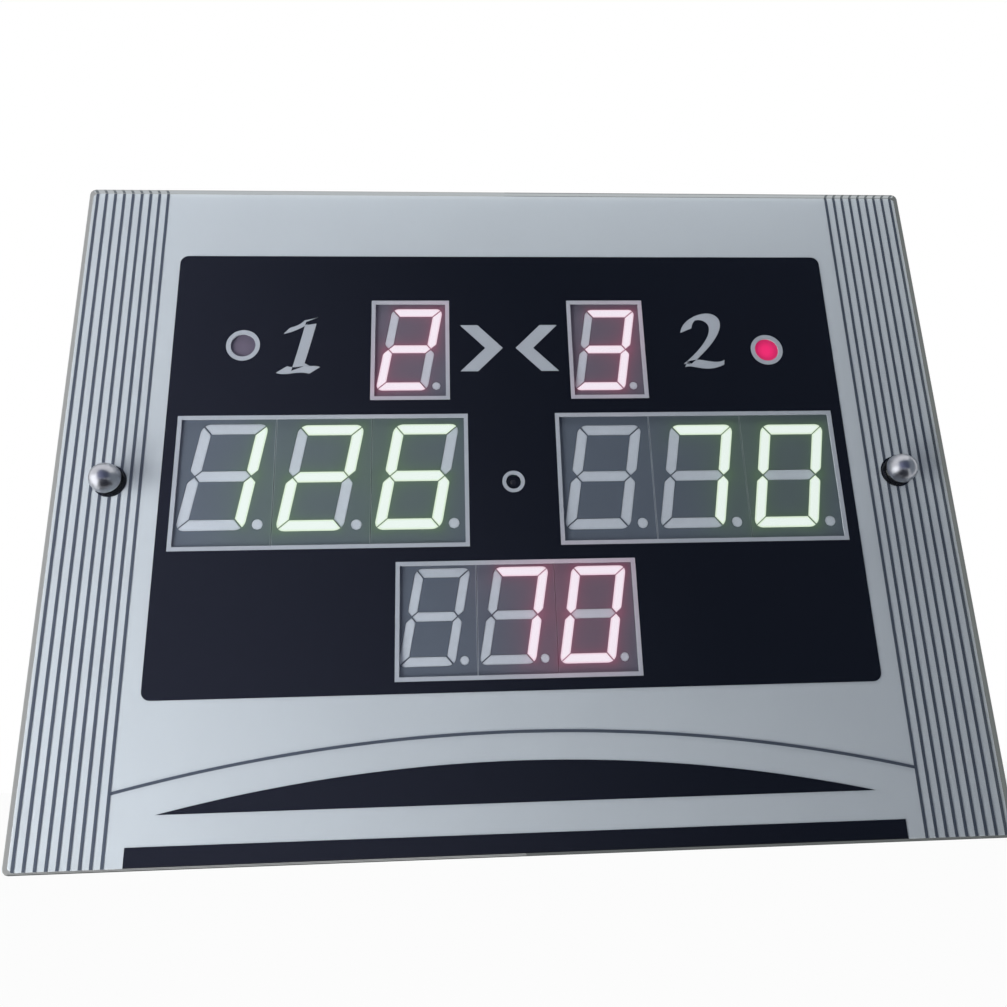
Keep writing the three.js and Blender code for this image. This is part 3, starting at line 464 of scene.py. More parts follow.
def arc(x, z, radius, start, end, steps):
    """Points on a circle's arc, from one angle to another."""
    angles = [start + (end - start) * i / steps for i in range(steps + 1)]
    return [(x + radius * math.cos(a), z + radius * math.sin(a)) for a in angles]


def circle(x, z, diameter, steps=64):
    return arc(x, z, diameter / 2, 0, 2 * math.pi, steps)[:-1]


def rectangle(left, right, foot, top, corner=0.0):
    """Corners of an upright rectangle, rounded where a corner radius is given."""
    if not corner:
        return [(left, foot), (right, foot), (right, top), (left, top)]
    quarter = math.pi / 2
    centres = [
        (right - corner, top - corner),
        (left + corner, top - corner),
        (left + corner, foot + corner),
        (right - corner, foot + corner),
    ]
    return [
        point
        for i, (x, z) in enumerate(centres)
        for point in arc(x, z, corner, i * quarter, (i + 1) * quarter, 8)
    ]


def bow(side, foot, crown, steps=64):
    """Points of a shallow arc over the middle, from its right end to its left."""
    sag = crown - foot
    radius = (side * side + sag * sag) / (2 * sag)
    spread = math.asin(side / radius)
    upright = math.pi / 2
    return arc(0, crown - radius, radius, upright - spread, upright + spread, steps)


def turned(name, profile, x, z, steps, material):
    """A piece turned about the line along y through x and z, from radii and places along y."""
    bm = bmesh.new()
    verts = [bm.verts.new((x + radius, y, z)) for radius, y in profile]
    edges = [bm.edges.new(pair) for pair in zip(verts, verts[1:])]
    bmesh.ops.spin(
        bm,
        geom=verts + edges,
        cent=(x, 0, z),
        axis=(0, 1, 0),
        angle=2 * math.pi,
        steps=steps,
        use_merge=True,
    )
    bmesh.ops.remove_doubles(bm, verts=bm.verts[:], dist=SAME_PLACE)
    piece = object_of(bm, name, material)
    for face in piece.data.polygons:
        face.use_smooth = True
    return piece


def row_opening(row):
    """The clear window in front of a row: left, right, foot and top."""
    facts = ROWS[row]
    low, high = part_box(f"{row}_shell_1")
    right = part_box(f"{row}_shell_{facts['count']}")[1].x
    side_lap, top_lap = (lap * MM for lap in FORMS[facts["form"]]["lap"])
    wide = (right - low.x) / 2 - side_lap
    tall = (high.z - low.z) / 2 - top_lap
    middle, rise = facts["middle"] * MM, facts["rise"] * MM
    return middle - wide, middle + wide, rise - tall, rise + tall


def grown(opening, border):
    """An opening with a border round it."""
    left, right, foot, top = opening
    return left - border, right + border, foot - border, top + border


# Side numerals: strokes, each a run of cubic curves in mm round the numeral's middle, and that middle
ONE_STROKES = [
    [((4.6, 15), (2.6, 6), (0.2, -5), (-2.2, -13.8))],
    [((-8.6, 8.4), (-4.5, 9.2), (0.5, 11.8), (3.4, 15.2))],
    [((-10.4, -14.2), (-5.5, -16.4), (0, -12.6), (7, -14.8))],
]
TWO_STROKES = [
    [
        ((-8.6, 7), (-7.4, 14.6), (1.6, 17.6), (6, 13.8)),
        ((6, 13.8), (11.6, 8.6), (2.6, -3.4), (-9.4, -13)),
    ],
    [((-10.2, -13.4), (-3.6, -10.4), (2, -16.8), (11, -12.2))],
]
NUMERALS = {"numeral_one": (ONE_STROKES, -110.7, 81), "numeral_two": (TWO_STROKES, 106.5, 81.9)}
NIB = (7.2, 2.3)  # mm, length and width of the pen's oval nib
NIB_ANGLE = math.radians(28)

# The right one of the facing chevrons, in mm from the middle
CHEVRON = {"tip": 3.5, "tail": 17, "thick": 9.5, "foot": 65.2, "top": 92.5}


def pen_path(curves, steps=16):
    """Points along a run of cubic curves."""
    path = []
    for knots in curves:
        points = interpolate_bezier(*(Vector((px, pz, 0)) for px, pz in knots), steps)
        path += [(p.x, p.y) for p in points[1 if path else 0 :]]
    return path


def pen_stroke(path):
    """Outline of a stroke along a path, as an oval nib held at one angle leaves it."""
    long_way = Vector((math.cos(NIB_ANGLE), math.sin(NIB_ANGLE)))
    short_way = Vector((-long_way.y, long_way.x))
    half_long, half_short = NIB[0] / 2 * MM, NIB[1] / 2 * MM
    left, right = [], []
    for i, point in enumerate(path):
        ahead = Vector(path[min(i + 1, len(path) - 1)]) - Vector(path[max(i - 1, 0)])
        across = Vector((-ahead.y, ahead.x)).normalized()
        wide, thin = half_long * across.dot(long_way), half_short * across.dot(short_way)
        reach = (half_long * wide * long_way + half_short * thin * short_way) / math.hypot(wide, thin)
        left.append(tuple(Vector(point) + reach))
        right.append(tuple(Vector(point) - reach))
    return left + right[::-1]


# Digits


def bar_outlines(form):
    """The seven mitred bars of a digit, a to g, in mm round its middle, before it leans."""
    outer_x, outer_z = form["width"] / 2 + SWELL, form["height"] / 2 + SWELL
    half = form["bar"] / 2 + SWELL
    inner_x, inner_z = outer_x - 2 * half, outer_z - 2 * half
    corner = form["corner"] + SWELL
    cut = (form["joint"] - 2 * SWELL) / math.sqrt(2)
    mitre = math.acos(-cut / (math.sqrt(2) * corner)) - math.pi / 4
    quarter = math.pi / 2
    bend = (outer_x - corner, outer_z - corner)
    top_bend = arc(*bend, corner, mitre, quarter, 5)
    top = [(-inner_x + cut, inner_z), (inner_x - cut, inner_z), *top_bend]
    top += [(-x, z) for x, z in reversed(top_bend)]
    rest = SHOULDER * math.tan(math.pi / 8)
    shoulder = arc(outer_x - SHOULDER, half + cut + rest, SHOULDER, -math.pi / 4, 0, 3)
    side = [(outer_x - half, cut), *shoulder, *arc(*bend, corner, 0, quarter - mitre, 5)]
    side += [(inner_x, inner_z - cut), (inner_x, half + cut)]
    end = [(inner_x - cut, -half), (inner_x + half - cut, 0), (inner_x - cut, half)]
    middle = end + [(-x, -z) for x, z in end]
    return {
        "a": top,
        "b": side,
        "c": [(x, -z) for x, z in side],
        "d": [(x, -z) for x, z in top],
        "e": [(-x, -z) for x, z in side],
        "f": [(-x, z) for x, z in side],
        "g": middle,
    }


def heart_line(form, bar):
    """The two ends of the line along the middle of a bar, in mm, before it leans."""
    reach_x, reach_z = (form["width"] - form["bar"]) / 2, (form["height"] - form["bar"]) / 2
    inset = form["bar"] / 2
    if bar in "adg":
        z = {"a": reach_z, "d": -reach_z, "g": 0}[bar]
        return (-reach_x + inset, z), (reach_x - inset, z)
    x = reach_x if bar in "bc" else -reach_x
    ends = (inset, reach_z - inset) if bar in "bf" else (inset - reach_z, -inset)
    return (x, ends[0]), (x, ends[1])


def leaned(form, point):
    """A point of a digit as it leans in its shell."""
    x, z = point
    return form["shift"] + x + z * math.tan(SLANT), form["lift"] + z


def middle_of(node):
    """The middle of a CAD node's box, by x and z."""
    low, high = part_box(node)
    return (low.x + high.x) / 2, (low.z + high.z) / 2


def lit_bars(row, index):
    """The bars that light in one module of a row."""
    shown = getattr(bpy.context.scene.scoreboard_displays, row)
    return LIT_BARS[shown[index - 1]]


def bar_boxes(form):
    """Centre and half size of each bar of a digit, in mm, before it leans."""
    boxes = {}
    for bar, points in bar_outlines(form).items():
        xs = [x for x, z in points]
        zs = [z for x, z in points]
        centre = ((min(xs) + max(xs)) / 2, (min(zs) + max(zs)) / 2)
        boxes[bar] = (centre, ((max(xs) - min(xs)) / 2, (max(zs) - min(zs)) / 2))
    return boxes


def spill(finish, row):
    """How much painted light falls beside the lit bars of a row, 1 at a bar's edge and fading with distance.
    """
    form = FORMS[ROWS[row]["form"]]
    x, y, z = finish.axes()
    shares = []
    for index in range(1, ROWS[row]["count"] + 1):
        middle_x, middle_z = middle_of(f"{row}_shell_{index}")
        rise = z - (middle_z + form["lift"] * MM)
        upright = finish.vector(x - (middle_x + form["shift"] * MM) - rise * math.tan(SLANT), 0.0, rise)
        for bar in lit_bars(row, index):
            centre, half = bar_boxes(form)[bar]
            away = finish.vector_math("SUBTRACT", upright, (centre[0] * MM, 0, centre[1] * MM))
            away = finish.vector_math("ABSOLUTE", away)
            away = finish.vector_math("SUBTRACT", away, (half[0] * MM, 0, half[1] * MM))
            away = finish.vector_math("MAXIMUM", away)
            distance = finish.vector_math("LENGTH", away, output="Value")
            near = math.exp(-1) ** (distance / SPILL_NEAR)
            far = math.exp(-1) ** (distance / SPILL_FAR)
            shares.append(near * 0.6 + far * 0.4)
    return sum(shares, x * 0)


def add_bar(bm, outline, depth, heart_ends):
    """One bar or point of a casting with a rounded front edge; marks its heart and returns its vertices."""
    old = set(bm.verts)
    front = bm.faces.new([bm.verts.new((x, CAST_FRONT, z)) for x, z in outline])
    push_out(bm, [front], depth)
    edges = front.edges[:]
    bmesh.ops.bevel(bm, geom=edges, affect="EDGES", offset=BAR_EDGE, segments=2, profile=0.5, material=-1)
    verts = [v for v in bm.verts if v not in old]
    level = {v for v in verts if abs(v.co.y - CAST_FRONT) < SAME_PLACE}
    plain = next(f for v in level for f in v.link_faces if level.issuperset(f.verts))
    ring = plain.verts[:]
    bmesh.ops.delete(bm, geom=[plain], context="FACES_ONLY")
    hearts = [bm.verts.new((x, CAST_FRONT, z)) for x, z in heart_ends]
    for vert in hearts:
        vert[bm.verts.layers.float["heart"]] = 1
    nearest = [min(hearts, key=lambda heart: (heart.co - vert.co).length) for vert in ring]
    for i, vert in enumerate(ring):
        after = (i + 1) % len(ring)
        corners = [vert, ring[after], nearest[after], nearest[i]]
        bm.faces.new(list(dict.fromkeys(corners)))
    return [v for v in bm.verts if v not in old]


def casting(row, index, material):
    """A module's casting: the resin block with its bars and its point, and marks on those that are lit."""
    form = FORMS[ROWS[row]["form"]]
    low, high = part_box(f"{row}_digit_{index}")
    middle_x, middle_z = middle_of(f"{row}_shell_{index}")
    block_front = CAST_FRONT + BLOCK_DEPTH
    bm = bmesh.new()
    lit_layer = bm.verts.layers.float.new("lit")
    bm.verts.layers.float.new("heart")
    block = bmesh.ops.create_cube(bm, size=1)["verts"]
    bmesh.ops.scale(bm, verts=block, vec=(high.x - low.x, high.y - block_front, high.z - low.z))
    bmesh.ops.translate(bm, verts=block, vec=(middle_x, (high.y + block_front) / 2, middle_z))
    outlines = {bar: [leaned(form, p) for p in points] for bar, points in bar_outlines(form).items()}
    point = (form["point_side"], form["lift"] - form["point_drop"])
    outlines["point"] = circle(*point, form["point"], 32)
    hearts = {bar: [leaned(form, end) for end in heart_line(form, bar)] for bar in bar_outlines(form)}
    hearts["point"] = [point]
    lit = lit_bars(row, index)
    for bar, points in outlines.items():
        outline = [(middle_x + x * MM, middle_z + z * MM) for x, z in points]
        heart_ends = [(middle_x + x * MM, middle_z + z * MM) for x, z in hearts[bar]]
        for vert in add_bar(bm, outline, BLOCK_DEPTH + BAR_ROOT, heart_ends):
            vert[lit_layer] = bar in lit
    return object_of(bm, f"{row}_casting_{index}", material)


# Finishes


def silver_film(look):
    """Screen-printed silver: fine flake, faint cloudy patches and a soft metal sheen."""
    finish = Finish("silver_film")
    flake = finish.noise(0.35 * MM, 2, 0.6)
    tone = mottle(flake, 0.16, finish.noise(55 * MM, 3, 0.5), 0.14)
    return finish.skin(
        Base_Color=finish.mottled(tone, look.silver, 0.78, 1.24),
        Metallic=0.12,
        Roughness=(flake - 0.5) * 0.1 + 0.46,
        Normal=finish.bump(flake, 0.01 * MM, 0.4),
        Specular_IOR_Level=0.0,
    )


def ink(name, colour, roughness=0.5, row_glow=()):
    """Screen-printed ink with the fine weave of its mesh, and painted light from the lit bars of the named
    rows as a glow.
    """
    finish = Finish(name)
    weave = finish.noise(0.28 * MM, 1, 0.5)
    tone = mottle(weave, 0.2, finish.noise(30 * MM, 2, 0.5), 0.3)
    sockets = {
        "Base_Color": finish.mottled(tone, colour, 0.8, 1.2),
        "Roughness": roughness,
        "Normal": finish.bump(weave, 0.008 * MM, 0.5),
        "Specular_IOR_Level": 0.0,
    }
    # Painted light: a glow from the lit bars of each named row.
    for row in row_glow:
        light = finish.tinted(glow_of(row), spill(finish, row) * 0.35)
        before = sockets.get("Emission_Color")
        sockets["Emission_Color"] = finish.added(before, light) if before else light
    return finish.skin(**sockets)


def through_shadow(finish, surface):
    """The surface, but clear to the lamps, so that their light reaches the print."""
    clear = finish.node("ShaderNodeBsdfTransparent", {}, {"Color": (0.97, 0.98, 0.975)})
    shadow = finish.node("ShaderNodeLightPath", {}, {}, "Is Shadow Ray")
    return finish.finished(finish.mix_shader(shadow, surface, clear))


def clear_sheet(look):
    """Clear sheet with faint streaks of wiping on it; its very rim is dull like the ground edges and carries
    their painted glow.
    """
    finish = Finish("clear_sheet")
    streak = finish.noise(30 * MM, 3, 0.6, (3, 1, 1))
    glass = finish.principled(
        Base_Color=(0.985, 0.995, 0.99),
        Roughness=streak.band(0.55, 0.8) * 0.004,
        IOR=1.5,
        Transmission_Weight=1.0,
    )
    x, y, z = finish.axes()
    sides = (abs(x) > FILM_HIGH.x - RIM_WIDTH) + (abs(z) > FILM_HIGH.z - RIM_WIDTH)
    corners = abs(x) + abs(z) > FILM_HIGH.x + FILM_HIGH.z - RIM_CORNER
    rim = (sides + corners).clamped()
    # The rim carries the ground edges' painted glow.
    return through_shadow(finish, finish.mix_shader(rim, glass, ground(finish, look)))


def ground_edge(look):
    """Ground edges of the sheet, with painted light on them: a glow, and the side lines seen through them
    painted in.
    """
    finish = Finish("ground_edge")
    return through_shadow(finish, ground(finish, look))


def ground(finish, look):
    """A sawn and ground face of the clear sheet, with painted light: a glow on each side, and the side lines
    painted into the top.
    """
    x, y, z = finish.axes()
    pitch = look.line_pitch
    offset = abs((abs(x) - look.line_start + pitch / 2) % pitch - pitch / 2)
    lines = (offset < look.line_width / 2) * (abs(x) > look.line_start - pitch / 2)
    # Painted light as a glow: the top edge with the side lines painted in, the left side lighter than the
    # right, the foot darkest.
    top = finish.mix(lines, seen(184, 188, 191), seen(104, 110, 114))
    upright = finish.mix(x > 0, seen(164, 165, 165), seen(98, 101, 100))
    edge = finish.mix(z < FILM_LOW.z, finish.mix(z > FILM_HIGH.z, upright, top), seen(70, 72, 74))
    saw = finish.noise(0.5 * MM, 3, 0.6, (1, 8, 1))
    return finish.principled(
        Base_Color=seen(22, 24, 23),
        Roughness=0.5,
        Specular_IOR_Level=0.0,
        Normal=finish.bump(saw, 0.02 * MM, 0.5),
        Emission_Color=finish.mix(saw * 0.2, edge, seen(130, 134, 132)),
    )


def glow_of(row):
    """The colour of the painted light that a row's lit bars throw beside them."""
    look = bpy.context.scene.scoreboard_displays
    return tuple(getattr(look, f"{ROWS[row]['glow']}_spill"))


def module_face(row):
    """Moulded grey shell with a matt face, bare along the joints, with painted light from the lit bars beside
    it: a lit colour and a faint glow.
    """
    look = bpy.context.scene.scoreboard_displays
    finish = Finish(f"{row}_face")
    x, y, z = finish.axes()
    grain = finish.noise(0.5 * MM, 3, 0.6)
    tone = mottle(grain, 0.2, finish.noise(24 * MM, 2, 0.5), 0.25)
    colour = finish.mottled(tone, look.face, 0.82, 1.2)
    bare = []
    for index in range(1, ROWS[row]["count"]):
        seam = (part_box(f"{row}_shell_{index}")[1].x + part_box(f"{row}_shell_{index + 1}")[0].x) / 2
        bare.append(abs(x - seam) < SEAM_WIDTH / 2)
    if bare:
        colour = finish.mix(sum(bare[1:], bare[0]) * 0.4, colour, look.resin)
    # Painted light: near the lit bars the face takes a lit colour and a faint glow.
    near = spill(finish, row)
    beside = getattr(look, f"{ROWS[row]['glow']}_face")
    return finish.skin(
        Base_Color=finish.mix((near * 0.9).clamped(), colour, beside),
        Roughness=0.62,
        Normal=finish.bump(grain, 0.02 * MM, 0.5),
        Emission_Color=finish.tinted(glow_of(row), near * 0.12),
    )


def cast_resin(row):
    """Milky resin, bright in the lit bars, with their light painted as a faint glow on the unlit ones."""
    look = bpy.context.scene.scoreboard_displays
    heart_light = getattr(look, ROWS[row]["glow"])
    rim_light = getattr(look, f"{ROWS[row]['glow']}_rim")
    finish = Finish(f"{row}_resin")
    lit = finish.attribute("lit")
    core = finish.attribute("heart").band(0.0, 0.4)
    cloud = finish.noise(2.5 * MM, 3, 0.55)
    grain = finish.noise(0.3 * MM, 2, 0.5)
    tone = ((cloud - 0.5) * 0.4 + core * 0.25 + 0.3).clamped()
    idle = finish.mottled(tone, look.resin, 0.8, 1.12)
    bright = finish.mix(core, rim_light, heart_light)
    # Painted light from the lit bars, as a faint glow on the unlit ones.
    painted_spill = finish.tinted(glow_of(row), spill(finish, row) * 0.16)
    return finish.skin(
        Base_Color=finish.mix(lit, idle, shade(heart_light, 0.08)),
        Roughness=0.42,
        Normal=finish.bump(grain, 0.01 * MM, 0.4),
        Emission_Color=finish.mix(lit, painted_spill, bright),
    )


def moulded(name, colour, grain=0.5, roughness=0.5, depth=0.03):
    """Moulded plastic: a fine spark-eroded grain, faint flow clouds and scuffs that shine a little more."""
    finish = Finish(name)
    fine = finish.noise(grain * MM, 3, 0.6)
    cloud = finish.noise(40 * MM, 3, 0.5, (1, 1, 3))
    scuff = finish.noise(6 * MM, 4, 0.7, (6, 1, 1)).band(0.6, 0.75)
    return finish.skin(
        Base_Color=finish.mottled(mottle(fine, 0.3, cloud, 0.4), colour, 0.75, 1.3, 0.002),
        Roughness=(fine - 0.5) * 0.14 - scuff * 0.08 + roughness,
        Normal=finish.bump(fine, depth * MM, 0.6),
    )


def plated(name, colour, roughness, brushing=0.0):
    """Plated metal with faint handling marks, brushed where a depth is given."""
    finish = Finish(name)
    marks = finish.noise(3 * MM, 4, 0.65)
    fine = finish.noise(0.25 * MM, 2, 0.6)
    tone = ((marks - 0.5) * 0.2 + 0.6).clamped()
    sockets = {
        "Base_Color": finish.mottled(tone, colour, 0.9, 1.05),
        "Metallic": 1.0,
        "Roughness": marks.band(0.45, 0.8) * 0.05 + (fine - 0.5) * brushing + roughness,
    }
    if brushing:
        sockets["Normal"] = finish.bump(fine, 0.01 * MM, 0.5)
    return finish.skin(**sockets)


def foam_skin():
    """Closed-cell foam: small soft cells, some of them open."""
    finish = Finish("foam_skin")
    place = {"Vector": finish.place(), "Scale": 1 / (0.7 * MM)}
    cells = finish.node("ShaderNodeTexVoronoi", {"feature": "F1"}, place)
    return finish.skin(
        Base_Color=finish.mix((cells * 1.2).clamped(), seen(18, 18, 20), seen(52, 52, 56)),
        Roughness=0.95,
        Normal=finish.bump(cells, 0.12 * MM, 0.8),
    )


def lamp_lens(name, lit):
    """Milky lens of an indicator lamp, brightest over the lamp's middle."""
    look = bpy.context.scene.scoreboard_lamps
    finish = Finish(name)
    x, y, z = finish.axes()
    middle_x, middle_z = middle_of(name)
    middle = 1 - finish.length(x - middle_x, z - middle_z).band(1.5 * MM, 6.5 * MM)
    if lit:
        light = finish.mottled(middle, look.lit, 0.72, 1.1)
        return finish.skin(Base_Color=seen(120, 30, 60), Roughness=0.4, Emission_Color=light)
    cloud = finish.noise(2 * MM, 3, 0.55)
    tone = (middle * 0.4 + (cloud - 0.5) * 0.3 + 0.3).clamped()
    return finish.skin(Base_Color=finish.mottled(tone, look.unlit, 0.8, 1.15), Roughness=0.4)


def circuit_board():
    """Green solder mask over copper tracks, with tinned pads in rows."""
    finish = Finish("circuit_board")
    x, y, z = finish.axes()
    run_x = finish.noise(9 * MM, 1, 0.5, (8, 1, 0.8))
    run_z = finish.noise(9 * MM, 1, 0.5, (0.8, 1, 8))
    off_z = abs((z % PAD_PITCH) - PAD_PITCH / 2)
    off_x = abs((x % PAD_PITCH) - PAD_PITCH / 2)
    tracks = (off_z < 0.35 * MM) * (run_x > 0.52) + (off_x < 0.35 * MM) * (run_z > 0.55)
    pads = (finish.length(off_x, off_z) < 0.55 * MM) * (run_x > 0.6) * (run_z > 0.5)
    grain = finish.noise(0.4 * MM, 2, 0.5)
    mask = finish.mix((tracks + (grain - 0.5) * 0.2).clamped(), seen(16, 74, 46), seen(44, 118, 70))
    return finish.skin(
        Base_Color=finish.mix(pads.clamped(), mask, seen(196, 196, 190)),
        Metallic=pads.clamped() * 0.9,
        Roughness=0.36,
        Normal=finish.bump((tracks + pads).clamped(), 0.04 * MM, 0.7),
    )


def chip_body(node, leg_reach):
    """Black moulded chip with bright tinned legs down both sides."""
    finish = Finish(f"{node}_moulding")
    x, y, z = finish.axes()
    low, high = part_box(node)
    body = (high.x - low.x) / 2 - leg_reach * MM
    legs = abs(x - (low.x + high.x) / 2) > body
    grain = finish.noise(0.25 * MM, 2, 0.6)
    black = finish.mix(grain, seen(20, 20, 22), seen(40, 41, 44))
    tin = finish.mix(grain, seen(168, 170, 172), seen(214, 215, 216))
    return finish.skin(
        Base_Color=finish.mix(legs, black, tin),
        Metallic=legs * 0.9,
        Roughness=0.55 - legs * 0.25,
        Normal=finish.bump(grain, 0.02 * MM, 0.5),
    )


def capacitor_sleeve():
    """Blue shrink sleeve with a pale stripe down one side and a bare metal top."""
    finish = Finish("capacitor_sleeve")
    x, y, z = finish.axes()
    low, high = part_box("smoothing_capacitor")
    top = y > high.y - 0.4 * MM
    stripe = (x > high.x - 1.3 * MM) * (1 - top)
    grain = finish.noise(0.8 * MM, 2, 0.5)
    sleeve = finish.mix(grain, seen(22, 40, 112), seen(36, 60, 146))
    striped = finish.mix(stripe, sleeve, seen(196, 204, 222))
    metal = finish.mix(grain, seen(176, 178, 182), seen(216, 218, 221))
    return finish.skin(
        Base_Color=finish.mix(top, striped, metal),
        Metallic=top * 0.95,
        Roughness=0.34,
        Normal=finish.bump(grain, 0.02 * MM, 0.4),
    )


def glowing(name, colour, strength=1.0):
    """A material that only gives light."""
    finish = Finish(name)
    return finish.finished(finish.emission(colour, strength))


def dress(material, *nodes):
    """A finish on CAD nodes."""
    for name in nodes:
        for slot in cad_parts[name].material_slots:
            slot.material = material


# Operators


class SCOREBOARD_OT_print(Operator):
    """Prints the film: windows with their frames and rings, rings under the caps, lines, foot and signs"""

    bl_idname = "scoreboard.print"
    bl_label = "Print the Film"

    def layer(self, name, outlines, order, material):
        """A printed shape between the film and the sheet, the higher its order the nearer the sheet."""
        step = (FILM_LOW.y - SHEET_REAR) / 7
        rear = FILM_LOW.y - (order * 2 + 0.5) * step
        bm = bmesh.new()
        slab(bm, outlines, rear - step, step)
        piece = object_of(bm, name, material)
        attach(piece, "housing")
        return piece

    def print_windows(self, look, window_ink, frame_ink, pale_ink):
        """The dark window with its openings, and the frames and rings round them and under the caps."""
        openings = [row_opening(row) for row in ROWS]
        rounds = [(middle_of(f"{side}_lamp_lens"), LAMP_HOLE, look.lamp_ring) for side in SIDES]
        rounds.append((middle_of("remote_receiver"), RECEIVER_HOLE, look.receiver_ring))
        border, reach = look.frame_border, look.window_side
        window = rectangle(-reach, reach, -look.window_foot, look.window_top, look.window_corner)
        holes = [rectangle(*grown(opening, border / 2)) for opening in openings]
        holes += [circle(*middle, (hole + ring) / 2) for middle, hole, ring in rounds]
        self.layer("dark_window", [window, *holes], 1, window_ink)
        frames = []
        for opening in openings:
            frames += [rectangle(*grown(opening, border)), rectangle(*opening)]
        self.layer("display_frames", frames, 2, frame_ink)
        rings = []
        for middle, hole, ring in rounds:
            rings += [circle(*middle, ring), circle(*middle, hole)]
        self.layer("window_rings", rings, 2, pale_ink)
        # Dark rings round the bolt holes; through the sheet each shows beside its cap as a dark crescent.
        cap_rings = []
        for side in SIDES:
            middle = middle_of(f"{side}_cap")
            cap_rings += [circle(*middle, look.cap_ring), circle(*middle, BOLT_HOLE)]
        self.layer("cap_rings", cap_rings, 2, window_ink)

    def print_lines(self, look, line_ink, window_ink):
        """The side lines, and at the foot the arc line, the lens shape and the bar."""
        half = look.line_width / 2
        lines = []
        for side in (-1, 1):
            for i in range(look.line_count):
                middle = side * (look.line_start + i * look.line_pitch)
                lines.append(rectangle(middle - half, middle + half, FILM_LOW.z, FILM_HIGH.z))
        self.layer("side_lines", lines, 1, line_ink)
        upper = bow(look.line_start, -look.arc_foot + half, -look.arc_crown + half)
        lower = bow(look.line_start, -look.arc_foot - half, -look.arc_crown - half)
        self.layer("arc_line", [upper + lower[::-1]], 2, line_ink)
        lens = bow(look.lens_side, -look.lens_foot, -look.lens_crown)
        self.layer("lens_shape", [lens], 1, window_ink)
        bar = rectangle(-look.bar_side, look.bar_side, FILM_LOW.z, -look.bar_top)
        self.layer("foot_bar", [bar], 1, window_ink)

    def print_signs(self, pale_ink):
        """The side numerals, written with a broad pen, and the two chevrons that face each other."""
        for name, (strokes, x, z) in NUMERALS.items():
            paths = [[(x * MM + px * MM, z * MM + pz * MM) for px, pz in pen_path(run)] for run in strokes]
            self.layer(name, [pen_stroke(path) for path in paths], 2, pale_ink)
        arrows = []
        for side in (-1, 1):
            tip, tail, thick, foot, top = (length * MM for length in CHEVRON.values())
            middle = (foot + top) / 2
            outline = [(tip, middle), (tail, top), (tail + thick, top)]
            outline += [(tip + thick, middle), (tail + thick, foot), (tail, foot)]
            arrows.append([(side * x, z) for x, z in outline])
        self.layer("facing_chevrons", arrows, 2, pale_ink)

    def execute(self, context):
        look = context.scene.scoreboard_print
        pale_ink = ink("pale_ink", look.pale)
        red_rows = [row for row in ROWS if ROWS[row]["glow"] == "red"]
        # The frames round the red rows carry their painted light.
        frame_ink = ink("frame_ink", look.pale, row_glow=red_rows)
        line_ink = ink("line_ink", look.line_ink)
        window_ink = ink("window_ink", look.window_ink, 0.35)
        self.print_windows(look, window_ink, frame_ink, pale_ink)
        self.print_lines(look, line_ink, window_ink)
        self.print_signs(pale_ink)
        return {"FINISHED"}


class SCOREBOARD_OT_sheet(Operator):
    """Gives the front sheet, the film and the foam seal behind them their finishes"""

    bl_idname = "scoreboard.sheet"
    bl_label = "Finish the Sheet"

    def execute(self, context):
        look = context.scene.scoreboard_print
        sheet = object_of(merged_copy("front_sheet"), "clear_front", clear_sheet(look), ground_edge(look))
        for face in sheet.data.polygons:
            face.material_index = int(abs(face.normal.y) < 0.9)
        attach(sheet, "housing")
        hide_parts("front_sheet")
        dress(silver_film(look), "printed_film")
        dress(foam_skin(), "foam_seal")
        return {"FINISHED"}


class SCOREBOARD_OT_displays(Operator):
    """Casts the digits of every row and finishes their shells"""

    bl_idname = "scoreboard.displays"
    bl_label = "Light the Displays"

    def execute(self, context):
        for row, facts in ROWS.items():
            face = module_face(row)
            resin = cast_resin(row)
            for index in range(1, facts["count"] + 1):
                dress(face, f"{row}_shell_{index}")
                piece = casting(row, index, resin)
                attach(piece, "housing")
                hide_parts(f"{row}_digit_{index}")
        return {"FINISHED"}


class SCOREBOARD_OT_lamps(Operator):
    """Finishes the indicator lamps with their lenses, and the receiver of the remote control"""

    bl_idname = "scoreboard.lamps"
    bl_label = "Light the Lamps"

    def execute(self, context):
        look = context.scene.scoreboard_lamps
        for side, lit in zip(SIDES, (look.left_lit, look.right_lit)):
            dress(lamp_lens(f"{side}_lamp_lens", lit), f"{side}_lamp_lens")
        dress(moulded("lamp_resin", seen(150, 26, 40), 0.8, 0.25, 0.005), "left_lamp", "right_lamp")
        dress(moulded("receiver_moulding", seen(20, 16, 22), 0.6, 0.22, 0.005), "remote_receiver")
        return {"FINISHED"}


